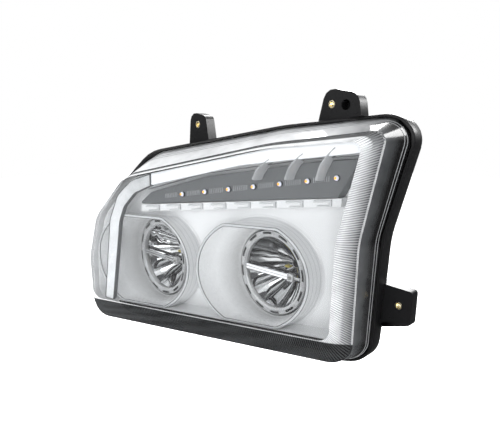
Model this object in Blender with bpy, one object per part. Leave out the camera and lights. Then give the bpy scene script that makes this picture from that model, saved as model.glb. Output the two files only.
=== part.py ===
"""Twin-lamp vehicle headlight, outboard side to +X, light thrown towards -Y, +Z up.

The front of the lamp is swept back: most front pieces are drawn flat in X and Z and laid on a
plane that runs backwards as X grows. "depth" is the distance behind that swept plane.
Sizes are in millimetres, laid out from the centre of the outboard lamp's opening. They become
metres when a mesh is made, and the finished lamp is moved so that its upper outboard fixing point
is the model's origin.
"""
import math

import bpy
import bmesh
from mathutils import Matrix, Vector

MM = 0.001                      # metres in a millimetre
GAP = 0.3                       # air left between pieces that touch
FIXING_POINT = (64.0, 50.0, 211.0)      # on the rear face of the upper outboard tab, the model's origin

# Driving dimensions, millimetres
SWEEP_DEG = 20.0                # how far the front plane leans back towards the outboard end
SWEEP_X = -10.0                 # where the swept plane is measured
SWEEP_Y = -38.0                 # its Y there
LAMP_X = {"outboard": 0.0, "inboard": -176.0}       # lamp axes
LAMP_Y = {"outboard": 0.0, "inboard": -58.0}        # planes of the lamp openings
OPENING_R = 50.0                # clear radius of each lamp
RIM_R = 75.0                    # rounded sides of each shroud rim
RIM_FLAT = 66.0                 # flat top and bottom of each shroud rim
LENS_T = 3.0                    # lens wall
WALL_T = 3.0                    # housing wall
LENS_FRONT = -4.0               # depth where the lens skirt starts
LENS_CROWN = 8.0                # bulge of the lens face
LENS_FOOT = 46.7                # depth where the lens skirt ends in its channel
FLANGE_FRONT = 36.0             # depth of the housing flange
FLANGE_BACK = 56.0
BACK_DEPTH = 150.0              # depth of the housing's rear wall
PIVOT_Y = 30.0                  # tilt axis behind each lamp opening
BALL_DROP = 70.0                # aiming ball below the tilt axis
NECK_R = 48.0                   # access opening behind each lamp
ARC_STEPS = 3                   # facets in each rounded outline corner
CLOSED_BODY_CUTS = ("housing", "inner_bezel", "daylight_bar")

# Outlines seen from the front: corners as (x, z, corner radius)
LENS_OUTLINE = [(-264, -98, 26), (125, -98, 30), (128, 60, 150), (153, 194, 12),
                (20, 177, 400), (-190, 130, 60), (-244, 66, 60), (-262, 0, 90)]
FLANGE_OUTLINE = [(-280, -112, 34), (128, -112, 34), (136, 62, 150), (172, 216, 32),
                  (10, 199, 400), (-190, 162, 60), (-262, 92, 60), (-279, 8, 90)]
BACK_OUTLINE = [(-262, -98, 30), (80, -98, 30), (84, 20, 60), (86, 96, 30),
                (10, 99, 300), (-150, 98, 60), (-250, 92, 30), (-264, 8, 60)]
BEZEL_OUTLINE = [(-260, -70, 18), (119, -70, 14), (123, 60, 120), (145, 187, 10),
                 (18, 171, 400), (-188, 125, 50), (-239, 64, 50), (-257, 0, 90)]
BEZEL_FLOOR = [(-249, -66, 14), (100, -66, 12), (104, 60, 100), (120, 176, 8),
               (10, 161, 300), (-184, 116, 40), (-229, 60, 40), (-246, 0, 90)]
PANEL_OUTLINE = [(-187, 85, 2), (94, 112, 3), (119, 160, 3), (60, 154, 200),
                 (-81, 130, 200), (-166, 104, 20)]
BAR_OUTLINE = [(-150, 133, 1), (-150, 116, 1), (-20, 148, 200), (70, 160, 200),
               (131, 168, 2), (139, 184, 3), (20, 171, 300)]
TAIL_OUTLINE = [(-151, 132, 1), (-183, 121, 30), (-208, 98, 30), (-224, 60, 40), (-241, -66, 2),
                (-226, -68, 2), (-206, 60, 40), (-197, 82, 20), (-178, 103, 20), (-151, 115, 1)]
FIN_X = (0.0, 41.0, 78.0)       # feet of three curved fins across the signal panel
FIN_TOP = (158.0, 166.0, 174.0)
FIN_BOTTOM = (130.0, 132.0, 133.0)
FIN_LEAN = 20.0                 # how far each fin leans outboard at its top
LED_COUNT = 7
LED_FIRST = (-115.0, 104.0)     # x and z of the first signal diode
LED_PITCH = 34.5
LED_RISE = 0.155                # rise of the diode row along x


# ---------------------------------------------------------------- helpers: outlines

def face_y(x):
    """Y of the swept front plane."""
    return SWEEP_Y + math.tan(math.radians(SWEEP_DEG)) * (x - SWEEP_X)


def rounded(corners, steps=ARC_STEPS):
    """A closed outline with an arc at each corner."""
    loop = []
    count = len(corners)
    for i, (x, z, radius) in enumerate(corners):
        here = Vector((x, z))
        before = (Vector(corners[i - 1][:2]) - here)
        after = (Vector(corners[(i + 1) % count][:2]) - here)
        cosine = before.normalized().dot(after.normalized())
        half = math.acos(max(-1.0, min(1.0, cosine))) / 2
        room = 0.46 * min(before.length, after.length)
        reach = min(radius / math.tan(half), room)
        r = reach * math.tan(half)
        a = before.normalized()
        b = after.normalized()
        centre = here + (a + b).normalized() * (r / math.sin(half))
        start = here + a * reach - centre
        end = here + b * reach - centre
        turn = start.angle_signed(end)
        for k in range(steps + 1):
            angle = -turn * k / steps
            spoke = Vector((start.x * math.cos(angle) - start.y * math.sin(angle),
                            start.x * math.sin(angle) + start.y * math.cos(angle)))
            loop.append((centre.x + spoke.x, centre.y + spoke.y))
    return loop


def area(loop):
    """Signed area: positive when the outline runs counter-clockwise in (x, z)."""
    total = 0.0
    for (x0, z0), (x1, z1) in zip(loop, loop[1:] + loop[:1]):
        total += x0 * z1 - x1 * z0
    return total / 2


def inset(loop, distance):
    """The outline moved inwards by a distance, outwards when it is negative."""
    sign = 1.0 if area(loop) > 0 else -1.0
    moved = []
    count = len(loop)
    for i in range(count):
        here = Vector(loop[i])
        before = (here - Vector(loop[i - 1])).normalized()
        after = (Vector(loop[(i + 1) % count]) - here).normalized()
        n0 = Vector((-before.y, before.x)) * sign
        n1 = Vector((-after.y, after.x)) * sign
        mid = (n0 + n1).normalized()
        step = distance / max(0.5, mid.dot(n1))
        moved.append((here.x + mid.x * step, here.y + mid.y * step))
    return moved


def scaled(loop, factor):
    """The outline shrunk towards the middle of the lamp."""
    cx = sum(p[0] for p in loop) / len(loop)
    cz = sum(p[1] for p in loop) / len(loop)
    return [(cx + (x - cx) * factor, cz + (z - cz) * factor) for x, z in loop]


def rim(cx, radius, top, bottom, count=36):
    """A circle cut by flats above and below."""
    loop = []
    for k in range(count):
        angle = 2 * math.pi * (k + 0.5) / count
        z = radius * math.sin(angle)
        loop.append((cx + radius * math.cos(angle), max(-bottom, min(top, z))))
    return loop


def swept(loop, depth):
    """Lays an outline on the swept plane, a depth behind it."""
    return [(x, face_y(x) + depth, z) for x, z in loop]


def upright(loop, y):
    """Lays an outline square to the vehicle."""
    return [(x, y, z) for x, z in loop]


def circle(cx, cz, radius, count=32):
    """A round outline."""
    return rim_points(cx, cz, radius, count)


def rim_points(cx, cz, radius, count):
    points = []
    for k in range(count):
        angle = 2 * math.pi * (k + 0.5) / count
        points.append((cx + radius * math.cos(angle), cz + radius * math.sin(angle)))
    return points


def rectangle(x0, x1, z0, z1):
    """A rectangular outline."""
    return [(x0, z0), (x1, z0), (x1, z1), (x0, z1)]


# ---------------------------------------------------------------- helpers: solids

def material(name, colour, roughness, metallic=0.0, alpha=1.0):
    """A Principled material with one colour."""
    mat = bpy.data.materials.new(name)
    mat.use_nodes = True
    shader = mat.node_tree.nodes["Principled BSDF"]
    shader.inputs["Base Color"].default_value = (*colour, 1.0)
    shader.inputs["Roughness"].default_value = roughness
    shader.inputs["Metallic"].default_value = metallic
    shader.inputs["Alpha"].default_value = alpha
    return mat


def finish(name, bm, mat, origin=(0.0, 0.0, 0.0), smooth_deg=35):
    """Makes the named object from a mesh in layout millimetres, with its origin at a given place."""
    bmesh.ops.recalc_face_normals(bm, faces=bm.faces)
    bmesh.ops.translate(bm, verts=bm.verts, vec=-Vector(origin))
    bmesh.ops.scale(bm, verts=bm.verts, vec=(MM, MM, MM))
    mesh = bpy.data.meshes.new(name)
    bm.to_mesh(mesh)
    bm.free()
    if mat is not None:
        mesh.materials.append(mat)
    mesh.shade_smooth()
    mesh.set_sharp_from_angle(angle=math.radians(smooth_deg))
    obj = bpy.data.objects.new(name, mesh)
    obj.location = (Vector(origin) - Vector(FIXING_POINT)) * MM
    bpy.context.scene.collection.objects.link(obj)
    return obj


def loft_mesh(rings, looped=False):
    """Skins a list of equal rings; ends are capped unless the last ring joins the first."""
    bm = bmesh.new()
    rows = [[bm.verts.new(p) for p in ring] for ring in rings]
    pairs = list(zip(rows, rows[1:]))
    if looped:
        pairs.append((rows[-1], rows[0]))
    count = len(rows[0])
    for a, b in pairs:
        for i in range(count):
            j = (i + 1) % count
            bm.faces.new((a[i], a[j], b[j], b[i]))
    if not looped:
        bm.faces.new(list(reversed(rows[0])))
        bm.faces.new(rows[-1])
    bmesh.ops.triangulate(bm, faces=[f for f in bm.faces if len(f.verts) > 4])
    return bm


def loft(name, rings, mat, looped=False, origin=(0.0, 0.0, 0.0)):
    """A solid skinned over rings."""
    return finish(name, loft_mesh(rings, looped), mat, origin)


def turned_mesh(profile, centre, count=24, start=0.0, sweep=360.0):
    """A profile of (radius, y) turned about an axis along Y through centre (x, z)."""
    full = sweep >= 360.0
    phase = 0.5 if full else 0.0
    rings = []
    for k in range(count if full else count + 1):
        angle = math.radians(start + sweep * (k + phase) / count)
        rings.append([(centre[0] + r * math.cos(angle), y, centre[1] + r * math.sin(angle))
                      for r, y in profile])
    return loft_mesh(rings, looped=full)


def turned(name, profile, centre, mat, origin=(0.0, 0.0, 0.0), **how):
    """A closed turned profile, kept clear of its axis."""
    return finish(name, turned_mesh(profile, centre, **how), mat, origin)


def plug_mesh(stations, centre, count=24):
    """A solid of revolution along Y from (radius, y) stations, with capped ends."""
    return loft_mesh([upright(rim_points(centre[0], centre[1], r, count), y)
                      for r, y in stations])


def plug(name, stations, centre, mat, origin=(0.0, 0.0, 0.0), count=24):
    """A named solid of revolution."""
    return finish(name, plug_mesh(stations, centre, count), mat, origin)


def block_mesh(x0, x1, y0, y1, z0, z1):
    """A rectangular block."""
    return loft_mesh([upright(rectangle(x0, x1, z0, z1), y0),
                      upright(rectangle(x0, x1, z0, z1), y1)])


def stepped_mesh(stations, levels, filled, ends, place):
    """A block stepped along its stations: column k is filled down to levels[filled[k]].

    ends are its two end coordinates, and place turns (station, level, end) into a point.
    """
    bm = bmesh.new()
    corners = {}

    def corner(i, j, end):
        """The shared corner at one station, level and end."""
        if (i, j, end) not in corners:
            corners[i, j, end] = bm.verts.new(place(stations[i], levels[j], end))
        return corners[i, j, end]

    def is_filled(i, j):
        """True where a cell holds material."""
        return 0 <= i < len(filled) and 0 <= j < filled[i]

    near, far = ends
    for i in range(len(filled)):
        for j in range(filled[i]):
            square = [(i, j), (i + 1, j), (i + 1, j + 1), (i, j + 1)]
            for end in ends:
                bm.faces.new([corner(*spot, end) for spot in square])
            beside = [(i, j - 1), (i + 1, j), (i, j + 1), (i - 1, j)]
            for k, cell in enumerate(beside):
                if not is_filled(*cell):
                    a = square[k]
                    b = square[(k + 1) % 4]
                    bm.faces.new([corner(*a, near), corner(*b, near), corner(*b, far), corner(*a, far)])
    return bm


def comb_mesh(x0, x1, levels, teeth, thickness, z0, z1):
    """A row of flat teeth on a base: levels are the y of the base's back, its front and the tips."""
    pitch = (x1 - x0 - thickness) / (teeth - 1)
    stations = []
    for k in range(teeth):
        stations += [x0 + pitch * k, x0 + pitch * k + thickness]
    filled = [1 if k % 2 else 2 for k in range(len(stations) - 1)]
    return stepped_mesh(stations, levels, filled, (z0, z1), lambda x, y, z: (x, y, z))


def prism_z_mesh(loop, z0, z1):
    """An outline of (x, y) raised from z0 to z1."""
    return loft_mesh([[(x, y, z0) for x, y in loop], [(x, y, z1) for x, y in loop]])


def add(target, bm, operation="UNION", origin=(0.0, 0.0, 0.0)):
    """Joins a solid to the target, or cuts it away, with a hidden tool body."""
    tool = finish(target.name + "_tool", bm, None, origin)
    tool.hide_render = True
    tool.display_type = "WIRE"
    step = target.modifiers.new("boolean", "BOOLEAN")
    step.operation = operation
    step.solver = "MANIFOLD" if target.name in CLOSED_BODY_CUTS else "EXACT"
    step.object = tool


def cut(target, bm):
    """Cuts a solid out of the target."""
    add(target, bm, "DIFFERENCE")


# ---------------------------------------------------------------- housing, lens and seal

def tab_outline_inboard():
    """Upper mounting tab towards the vehicle's middle."""
    return rounded([(-139, 170, 0.5), (-95, 178.4, 0.5), (-101, 212, 9), (-134, 219, 12)], 3)


def tab_outline_outboard():
    """Upper mounting tab towards the vehicle's side, wide enough for a locating hole."""
    return rounded([(44, 202.2, 0.5), (107, 209.4, 0.5), (103, 236, 15), (55, 245, 15)], 3)


def ear_outline():
    """Side mounting ear with its web."""
    return rounded([(121, -64, 0.5), (136, -52, 3), (171, -48, 4), (172, -3, 4), (121, 0, 0.5)], 2)


def rear_wall_y(x):
    """Outer face of the rear wall."""
    return face_y(x) + BACK_DEPTH + WALL_T


def neck_end(side):
    """Rear face of the round neck behind a lamp."""
    return rear_wall_y(LAMP_X[side] + NECK_R) + 8


def boss_end(side):
    """Rear face of the aiming-screw boss."""
    return rear_wall_y(LAMP_X[side] + 12) + 6


def make_housing(mat):
    """Deep black tub with a sealing channel round its mouth, mounting tabs and rear necks."""
    mouth = rounded(FLANGE_OUTLINE)
    back = rounded(BACK_OUTLINE)
    rings = [
        swept(inset(back, 10), BACK_DEPTH + WALL_T),
        swept(back, BACK_DEPTH - WALL_T),
        swept(inset(mouth, 9), 62),
        swept(mouth, FLANGE_BACK),
        swept(mouth, FLANGE_FRONT),
        swept(inset(mouth, 2.2), FLANGE_FRONT),
        swept(inset(mouth, 2.2), 50),
        swept(inset(mouth, 9.2), 50),
        swept(inset(mouth, 9.2), 42),
        swept(inset(mouth, 12), 42),
        swept(inset(mouth, 12), 61),
        swept(inset(back, WALL_T), BACK_DEPTH - WALL_T - 1),
        swept(inset(back, 12), BACK_DEPTH),
    ]
    housing = loft("housing", rings, mat)
    for outline, y0, y1 in ((tab_outline_inboard(), -33, -18),
                            (tab_outline_outboard(), 33, 50),
                            (ear_outline(), 64, 79)):
        add(housing, loft_mesh([upright(outline, y0), upright(outline, y1)]))
    for side, x in LAMP_X.items():
        neck_start = rear_wall_y(x - NECK_R) - 2
        boss_start = rear_wall_y(x - 12) - 2
        add(housing, plug_mesh([(NECK_R, neck_start), (NECK_R, neck_end(side))], (x, 0), 28))
        add(housing, plug_mesh([(12, boss_start), (12, boss_end(side))], (x, -BALL_DROP), 16))
    for x, z in VENTS:
        start = rear_wall_y(x - 6) - 2
        add(housing, plug_mesh([(6, start), (6, rear_wall_y(x) + 12)], (x, z), 12))
    add(housing, block_mesh(-100, -20, 24, 74, -107, -100.5))
    add(housing, block_mesh(-112, -64, 75.5, CONNECTOR_Y, 36, 64))
    for side, x in LAMP_X.items():
        end = neck_end(side)
        cut(housing, plug_mesh([(NECK_R - 4, end - 75), (NECK_R - 4, end + 5)], (x, 0), 28))
        cut(housing, plug_mesh([(4.4, end - 75), (4.4, end + 5)], (x, -BALL_DROP), 12))
    for x, z in VENTS:
        wall = rear_wall_y(x)
        cut(housing, plug_mesh([(3.5, wall - 12), (3.5, wall + 15)], (x, z), 10))
    for x, z, y0, y1 in INSERTS.values():
        cut(housing, plug_mesh([(5.3, y0 - 2), (5.3, y1 + 2)], (x, z), 16))
    cut(housing, plug_mesh([(6.5, 30), (6.5, 46)], LOCATOR, 16))
    cut(housing, block_mesh(-78, -42, 38, 60, -110, -90))
    cut(housing, block_mesh(-106, -70, 60, CONNECTOR_Y + 5, 41, 59))
    for x, y in DRIVER_SCREWS:
        cut(housing, post_mesh((2.4, -108), (2.4, -102.5), x, y))
    return housing


def post_mesh(low, high, x, y, count=12):
    """A round post along Z from (radius, z) to (radius, z)."""
    rings = []
    for r, z in (low, high):
        rings.append([(x + dx, y + dy, z) for dx, dy in rim_points(0, 0, r, count)])
    return loft_mesh(rings)


VENTS = ((62.0, 74.0), (-232.0, 62.0))
LOCATOR = (85.0, 223.0)
CONNECTOR_Y = 99.0
INSERTS = {                     # x, z, front y, rear y of each threaded insert
    "insert_top_inboard": (-119.0, 200.0, -33.0, -18.0),
    "insert_top_outboard": (64.0, 224.0, 33.0, 50.0),
    "insert_side": (154.0, -25.0, 64.0, 79.0),
}
DRIVER_SCREWS = ((-96.0, 29.0), (-24.0, 29.0), (-96.0, 69.0), (-24.0, 69.0))


def make_lens(mat):
    """Crowned clear cover with a deep skirt whose foot sits in the housing channel."""
    front = rounded(LENS_OUTLINE)
    foot = inset(rounded(FLANGE_OUTLINE), 3)
    face = -12.5
    rings = []
    for factor in (0.3, 0.65):
        rings.append(swept(scaled(front, factor), face - LENS_CROWN * (1 - factor ** 2)))
    rings += [swept(inset(front, 9), face), swept(inset(front, 3), face + 2.5),
              swept(front, LENS_FRONT), swept(foot, LENS_FOOT),
              swept(inset(foot, LENS_T), LENS_FOOT), swept(inset(front, LENS_T), LENS_FRONT + 1),
              swept(inset(front, 5.2), face + 5), swept(inset(front, 10), face + LENS_T)]
    for factor in (0.65, 0.3):
        bulge = LENS_CROWN * (1 - factor ** 2)
        rings.append(swept(scaled(front, factor), face + LENS_T - bulge))
    return loft("outer_lens", rings, mat)


def make_seal(mat):
    """Bead of sealant in the housing channel."""
    mouth = rounded(FLANGE_OUTLINE)
    rings = [swept(inset(mouth, 2.6), 47.1), swept(inset(mouth, 2.6), 49.7),
             swept(inset(mouth, 8.8), 49.7), swept(inset(mouth, 8.8), 47.1)]
    return loft("lens_seal", rings, mat, looped=True)


def make_inserts(mat):
    """Brass inserts pressed in the mounting points."""
    for name, (x, z, y0, y1) in INSERTS.items():
        profile = [(3.0, y0), (5.0, y0), (5.0, y1), (3.0, y1)]
        turned(name, profile, (x, z), mat, origin=(x, y0, z), count=16)


# ---------------------------------------------------------------- front trim

def rim_centre(side):
    """The rim stands a little inboard of the lamp axis at the outboard lamp."""
    return LAMP_X[side] - (10 if side == "outboard" else 2)


def make_bezel(mat):
    """Pale tray that carries the two lamp shrouds."""
    edge = rounded(BEZEL_OUTLINE)
    floor = rounded(BEZEL_FLOOR)
    rings = [swept(inset(floor, -2.5), 27.5), swept(edge, 2.5), swept(edge, 0),
             swept(inset(edge, 2.5), 0), swept(floor, 25)]
    bezel = loft("inner_bezel", rings, mat)
    for side, x in LAMP_X.items():
        mid = rim_centre(side)
        y = LAMP_Y[side]
        top = 80 if side == "outboard" else 68
        outside = rim(mid, RIM_R + 1.5, RIM_FLAT + 1.5, RIM_FLAT + 1.5)
        base = rim(mid + 3, 79, top, 68)
        add(bezel, loft_mesh([swept(outside, 0.01), swept(base, 26.5)]))
        add(bezel, loft_mesh([swept(outside, 0.02), upright(rim(x, 65.5, 70, 70), y - 2)]))
        inside = rim(mid, RIM_R, RIM_FLAT, RIM_FLAT)
        throat = rim(x, 62.8, 70, 70)
        cut(bezel, loft_mesh([swept(rim(mid, RIM_R + 0.4, RIM_FLAT + 0.2, RIM_FLAT + 0.2), -3),
                              swept(inside, 0.3), upright(throat, y - 5),
                              upright(throat, y + 60)]))
    window = inset(rounded(PANEL_OUTLINE, 3), -0.4)
    cut(bezel, loft_mesh([swept(window, -20), swept(window, 40)]))
    return bezel


def led_place(index):
    """x and z of one signal diode."""
    x = LED_FIRST[0] + LED_PITCH * index
    return x, LED_FIRST[1] + LED_RISE * (x - LED_FIRST[0])


def make_panel(mat):
    """Dark signal panel: a shallow cover with a hole for each diode."""
    edge = rounded(PANEL_OUTLINE, 3)
    inner = inset(edge, 2.5)
    panel = loft("signal_panel", [swept(edge, 10), swept(edge, 27), swept(inner, 27),
                                  swept(inner, 12.5)], mat)
    for index in range(LED_COUNT):
        x, z = led_place(index)
        cut(panel, plug_mesh([(5.2, face_y(x) + 5), (5.2, face_y(x) + 20)], (x, z), 12))
    return panel


def make_shelf(mat):
    """Ledge under the signal panel with a row of raised brackets on its front."""
    line = []
    for k in range(8):
        x = -172 + 34.2 * k
        line += [(x, 9), (x, 6), (x + 21, 6), (x + 21, 9)]
    outline = [(-182, 9)] + line + [(99, 9), (99, 24.6), (-182, 24.6)]
    slope = 27.5 / 281.0

    def raised(height):
        return [(x, face_y(x) + depth, height + slope * (x + 187)) for x, depth in outline]
    return loft("shelf_trim", [raised(73.5), raised(84.0)], mat)


def fin_outline(index, grow=0.0):
    """A slim crescent that leans outboard at its top."""
    x = FIN_X[index]
    top = FIN_TOP[index] + grow
    bottom = FIN_BOTTOM[index] - grow
    height = top - bottom
    steps = 7
    left = []
    right = []
    for k in range(steps + 1):
        t = k / steps
        bow = math.sin(math.pi * t)
        lean = FIN_LEAN * t * t
        left.append((x + lean - 2.6 * bow - 0.7 - grow, bottom + height * t))
        right.append((x + lean + 2.6 * bow + 0.7 + grow, bottom + height * t))
    return left + list(reversed(right))


def make_daylight(bar_mat, tail_mat):
    """Two light guides behind the lens: the long bar and the tail that turns down inboard."""
    bar = loft("daylight_bar", [swept(rounded(BAR_OUTLINE, 3), depth) for depth in (-6.0, -0.6)],
               bar_mat)
    for index in range(len(FIN_X)):
        gap = fin_outline(index, 0.5)
        cut(bar, loft_mesh([swept(gap, -12), swept(gap, 5)]))
    loft("daylight_tail", [swept(rounded(TAIL_OUTLINE, 3), depth) for depth in (-6.0, -0.6)],
         tail_mat)


def make_fins(mat):
    """Curved fins standing on the signal panel and crossing the light bar."""
    for index in range(len(FIN_X)):
        loop = fin_outline(index)
        loft(f"gill_fin_{index + 1}", [swept(loop, -4.5), swept(loop, 9.6)], mat)


def make_signal(board_mat, led_mat):
    """Signal diodes in their collimators, and the circuit board behind them."""
    corners = [(-130, 93, 2), (102, 129, 2), (102, 145, 2), (-130, 109, 2)]
    loop = rounded(corners, 2)
    loft("signal_board", [swept(loop, 28.0), swept(loop, 29.6)], board_mat)
    for index in range(LED_COUNT):
        x, z = led_place(index)
        y = face_y(x)
        stations = [(1.6, y + 8.0), (3.6, y + 9.2), (4.5, y + 12), (4.5, y + 25.2)]
        plug(f"signal_led_{index + 1}", stations, (x, z), led_mat, origin=(x, y + 25.2, z), count=10)


# ---------------------------------------------------------------- lamp modules

def pivot(side):
    """A point on the tilt axis of a lamp."""
    return (LAMP_X[side], LAMP_Y[side] + PIVOT_Y, 0.0)


def make_ring(side, mat):
    """Slotted front ring with a sleeve back to the carrier."""
    x, y = LAMP_X[side], LAMP_Y[side]
    profile = [(OPENING_R, y - 4), (52, y - 6), (57, y - 6), (59, y - 4), (59, y + 22.7),
               (56.2, y + 22.7), (56.2, y + 2), (OPENING_R, y + 2)]
    turned("module_ring_" + side, profile, (x, 0), mat, origin=pivot(side), count=30)


def make_reflectors(side, mat):
    """Upper and lower half bowls."""
    x, y = LAMP_X[side], LAMP_Y[side]
    inner = []
    outer = []
    depth = 46.0
    for k in range(5):
        r = OPENING_R * (1 - 0.84 * k / 4)
        back = y + 3 + depth * (1 - (r / OPENING_R) ** 2)
        inner.append((r, back))
        outer.append((r + 2.4, back + 1.2))
    profile = inner + list(reversed(outer))
    for word, start, lift in (("upper", 0.0, 2.5), ("lower", 180.0, -2.5)):
        turned(f"{word}_reflector_{side}", profile, (x, lift), mat, origin=pivot(side),
               count=12, start=start, sweep=180.0)


def make_blade(side, mat, led_mat):
    """Flat carrier across the opening with a diode on its top and on its underside."""
    x, y = LAMP_X[side], LAMP_Y[side]
    outline = rounded([(x - 48, y - 3, 4), (x + 48, y - 3, 4), (x + 40, y + 34, 8),
                       (x + 16, y + 56, 4), (x - 16, y + 56, 4), (x - 40, y + 34, 8)], 2)
    finish("led_blade_" + side, prism_z_mesh(outline, -2.0, 2.0), mat, origin=pivot(side))
    chip = rounded([(x - 4, y + 28, 1), (x + 4, y + 28, 1), (x + 4, y + 36, 1),
                    (x - 4, y + 36, 1)], 2)
    for word, z0, z1 in (("upper", 2.3, 3.3), ("lower", -3.3, -2.3)):
        finish(f"{word}_emitter_{side}", prism_z_mesh(chip, z0, z1), led_mat, origin=pivot(side))


def make_heat_sink(side, mat):
    """Finned block behind the reflectors."""
    x, y = LAMP_X[side], LAMP_Y[side]
    fins = comb_mesh(x - 51.5, x + 51.5, (y + 56.4, y + 61, y + 86), 9, 2.4, -36, 36)
    finish("heat_sink_" + side, fins, mat, origin=pivot(side))


def make_carrier(side, mat):
    """Ring with side pivots, arms to the heat sink and a socket for the aiming ball."""
    x, y = LAMP_X[side], LAMP_Y[side]
    mid = y + PIVOT_Y
    profile = [(56, mid - 7), (64, mid - 7), (64, mid + 7), (56, mid + 7)]
    carrier = turned("carrier_" + side, profile, (x, 0), mat, origin=pivot(side), count=28)
    for sign in (-1, 1):
        inner, outer = sorted((x + sign * 51.9, x + sign * 60))
        add(carrier, block_mesh(inner, outer, mid + 4, y + 62, -8, 8))
        pin = plug_mesh([(4, 0), (4, 12)], (0, 0), 14)
        turn = Matrix.Rotation(math.radians(-90 * sign), 4, "Z")
        bmesh.ops.transform(pin, matrix=Matrix.Translation((x + sign * 61.5, mid, 0)) @ turn,
                            verts=pin.verts)
        add(carrier, pin)
    add(carrier, block_mesh(x - 8, x + 8, mid - 9, mid + 9, -77, -60))
    cut(carrier, block_mesh(x - 5.5, x + 5.5, mid - 5.3, mid + 5.3, -78, -BALL_DROP + 6))
    cut(carrier, block_mesh(x - 2.7, x + 2.7, mid + 4, mid + 12, -78, -BALL_DROP + 6))


def make_yoke(side, mat):
    """Open ring on four legs that holds the carrier's pivots."""
    x, y = LAMP_X[side], LAMP_Y[side]
    mid = y + PIVOT_Y
    profile = [(67.5, mid - 7), (76, mid - 7), (76, mid + 7), (67.5, mid + 7)]
    yoke = turned("yoke_" + side, profile, (x, 0), mat, count=28)
    for sx in (-1, 1):
        for sz in (-1, 1):
            loop = rectangle(x + sx * 51 - 5, x + sx * 51 + 5, sz * 51 - 5, sz * 51 + 5)
            add(yoke, loft_mesh([upright(loop, mid + 3), swept(loop, BACK_DEPTH - GAP)]))
        hole = plug_mesh([(4.4, -20), (4.4, 20)], (0, 0), 14)
        turn = Matrix.Rotation(math.radians(90), 4, "Z")
        bmesh.ops.transform(hole, matrix=Matrix.Translation((x + sx * 72, mid, 0)) @ turn,
                            verts=hole.verts)
        cut(yoke, hole)
    cut(yoke, block_mesh(x - 13, x + 13, mid - 12, mid + 12, -82, -60))


# ---------------------------------------------------------------- aiming screws and rear caps

def make_aiming(side, rod_mat, knob_mat):
    """Ball-ended rod and the knob whose thread drives it."""
    x, y = LAMP_X[side], LAMP_Y[side]
    mid = y + PIVOT_Y
    end = boss_end(side)
    stations = [(1.6, mid - 4.74), (3.6, mid - 3.46), (4.7, mid - 1.7), (5.0, mid),
                (4.7, mid + 1.7), (3.6, mid + 3.46), (2.2, mid + 4.5),
                (2.2, mid + 22), (3.6, mid + 26), (3.6, end + 7)]
    plug("aiming_rod_" + side, stations, (x, -BALL_DROP), rod_mat,
         origin=(x, mid, -BALL_DROP), count=12)
    profile = [(4.2, end + GAP), (9.5, end + GAP), (9.5, end + 4), (8, end + 5),
               (8, end + 15), (6.5, end + 17), (0.8, end + 17), (0.8, end + 13), (4.2, end + 13)]
    turned("aiming_knob_" + side, profile, (x, -BALL_DROP), knob_mat,
           origin=(x, end, -BALL_DROP), count=12)


def make_cap(side, mat, seal_mat):
    """Round twist cap over the neck, with a grip bar and a sealing ring."""
    x = LAMP_X[side]
    end = neck_end(side)
    stations = [(NECK_R + GAP, end - 4), (NECK_R + 3, end - 4), (NECK_R + 3, end + 3),
                (NECK_R - 2, end + 6), (3, end + 6), (3, end + 3), (NECK_R - 10, end + 3),
                (NECK_R - 10, end - 8), (NECK_R - 6.5, end - 8), (NECK_R - 6.5, end + GAP),
                (NECK_R + GAP, end + GAP)]
    cap = turned("rear_cap_" + side, stations, (x, 0), mat, origin=(x, end, 0), count=28)
    add(cap, block_mesh(x - 30, x + 30, end + 4, end + 15, -5, 5))
    wire = []
    for k in range(5):
        angle = 2 * math.pi * k / 5
        wire.append((NECK_R - 5.25 + 0.85 * math.cos(angle), end - 4 + 0.85 * math.sin(angle)))
    turned("cap_seal_" + side, wire, (x, 0), seal_mat, origin=(x, end, 0), count=28)


# ---------------------------------------------------------------- rear fittings

def make_vents(mat):
    """Rubber caps on the breather snouts."""
    for index, (x, z) in enumerate(VENTS):
        wall = rear_wall_y(x)
        profile = [(6.3, wall + 5), (9, wall + 5), (9, wall + 16), (6.5, wall + 19),
                   (1.2, wall + 19), (1.2, wall + 16), (4.6, wall + 14), (6.3, wall + 12.4)]
        turned(f"vent_cap_{index + 1}", profile, (x, z), mat, origin=(x, wall, z), count=12)


def make_driver(mat, gasket_mat, screw_mat):
    """Finned power unit under the housing, its gasket, and four screws whose heads clamp its flange."""
    x0, x1 = -93.4, -26.6
    flange_top = -107 - 2 * GAP - 1.5
    fins = 8
    pitch = (x1 - x0 - 8 - 3) / (fins - 1)
    stations = [x0]
    for k in range(fins):
        stations += [x0 + 4 + pitch * k, x0 + 7 + pitch * k]
    stations.append(x1)
    levels = [flange_top, flange_top - 4, flange_top - 12, flange_top - 22]
    filled = []
    for column in range(len(stations) - 1):
        at_edge = column in (0, len(stations) - 2)
        filled.append(1 if at_edge else 3 if column % 2 else 2)
    block = stepped_mesh(stations, levels, filled, (24.0, 74.0), lambda x, z, y: (x, y, z))
    finish("driver_module", block, mat)
    top = flange_top + GAP + 1.5
    rings = []
    for grow, z in ((0, top), (0, top - 1.5), (4, top - 1.5), (4, top)):
        rings.append([(-88 + grow, 33 + grow, z), (-32 - grow, 33 + grow, z),
                      (-32 - grow, 65 - grow, z), (-88 + grow, 65 - grow, z)])
    loft("driver_gasket", rings, gasket_mat, looped=True)
    for index, (x, y) in enumerate(DRIVER_SCREWS):
        head = flange_top - 4 - GAP
        rings = []
        for r, z in ((3.5, head - 2.6), (3.5, head), (2.0, head), (2.0, -103.2)):
            rings.append([(x + dx, y + dy, z) for dx, dy in rim_points(0, 0, r, 10)])
        loft(f"driver_screw_{index + 1}", rings, screw_mat, origin=(x, y, head))


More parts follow.
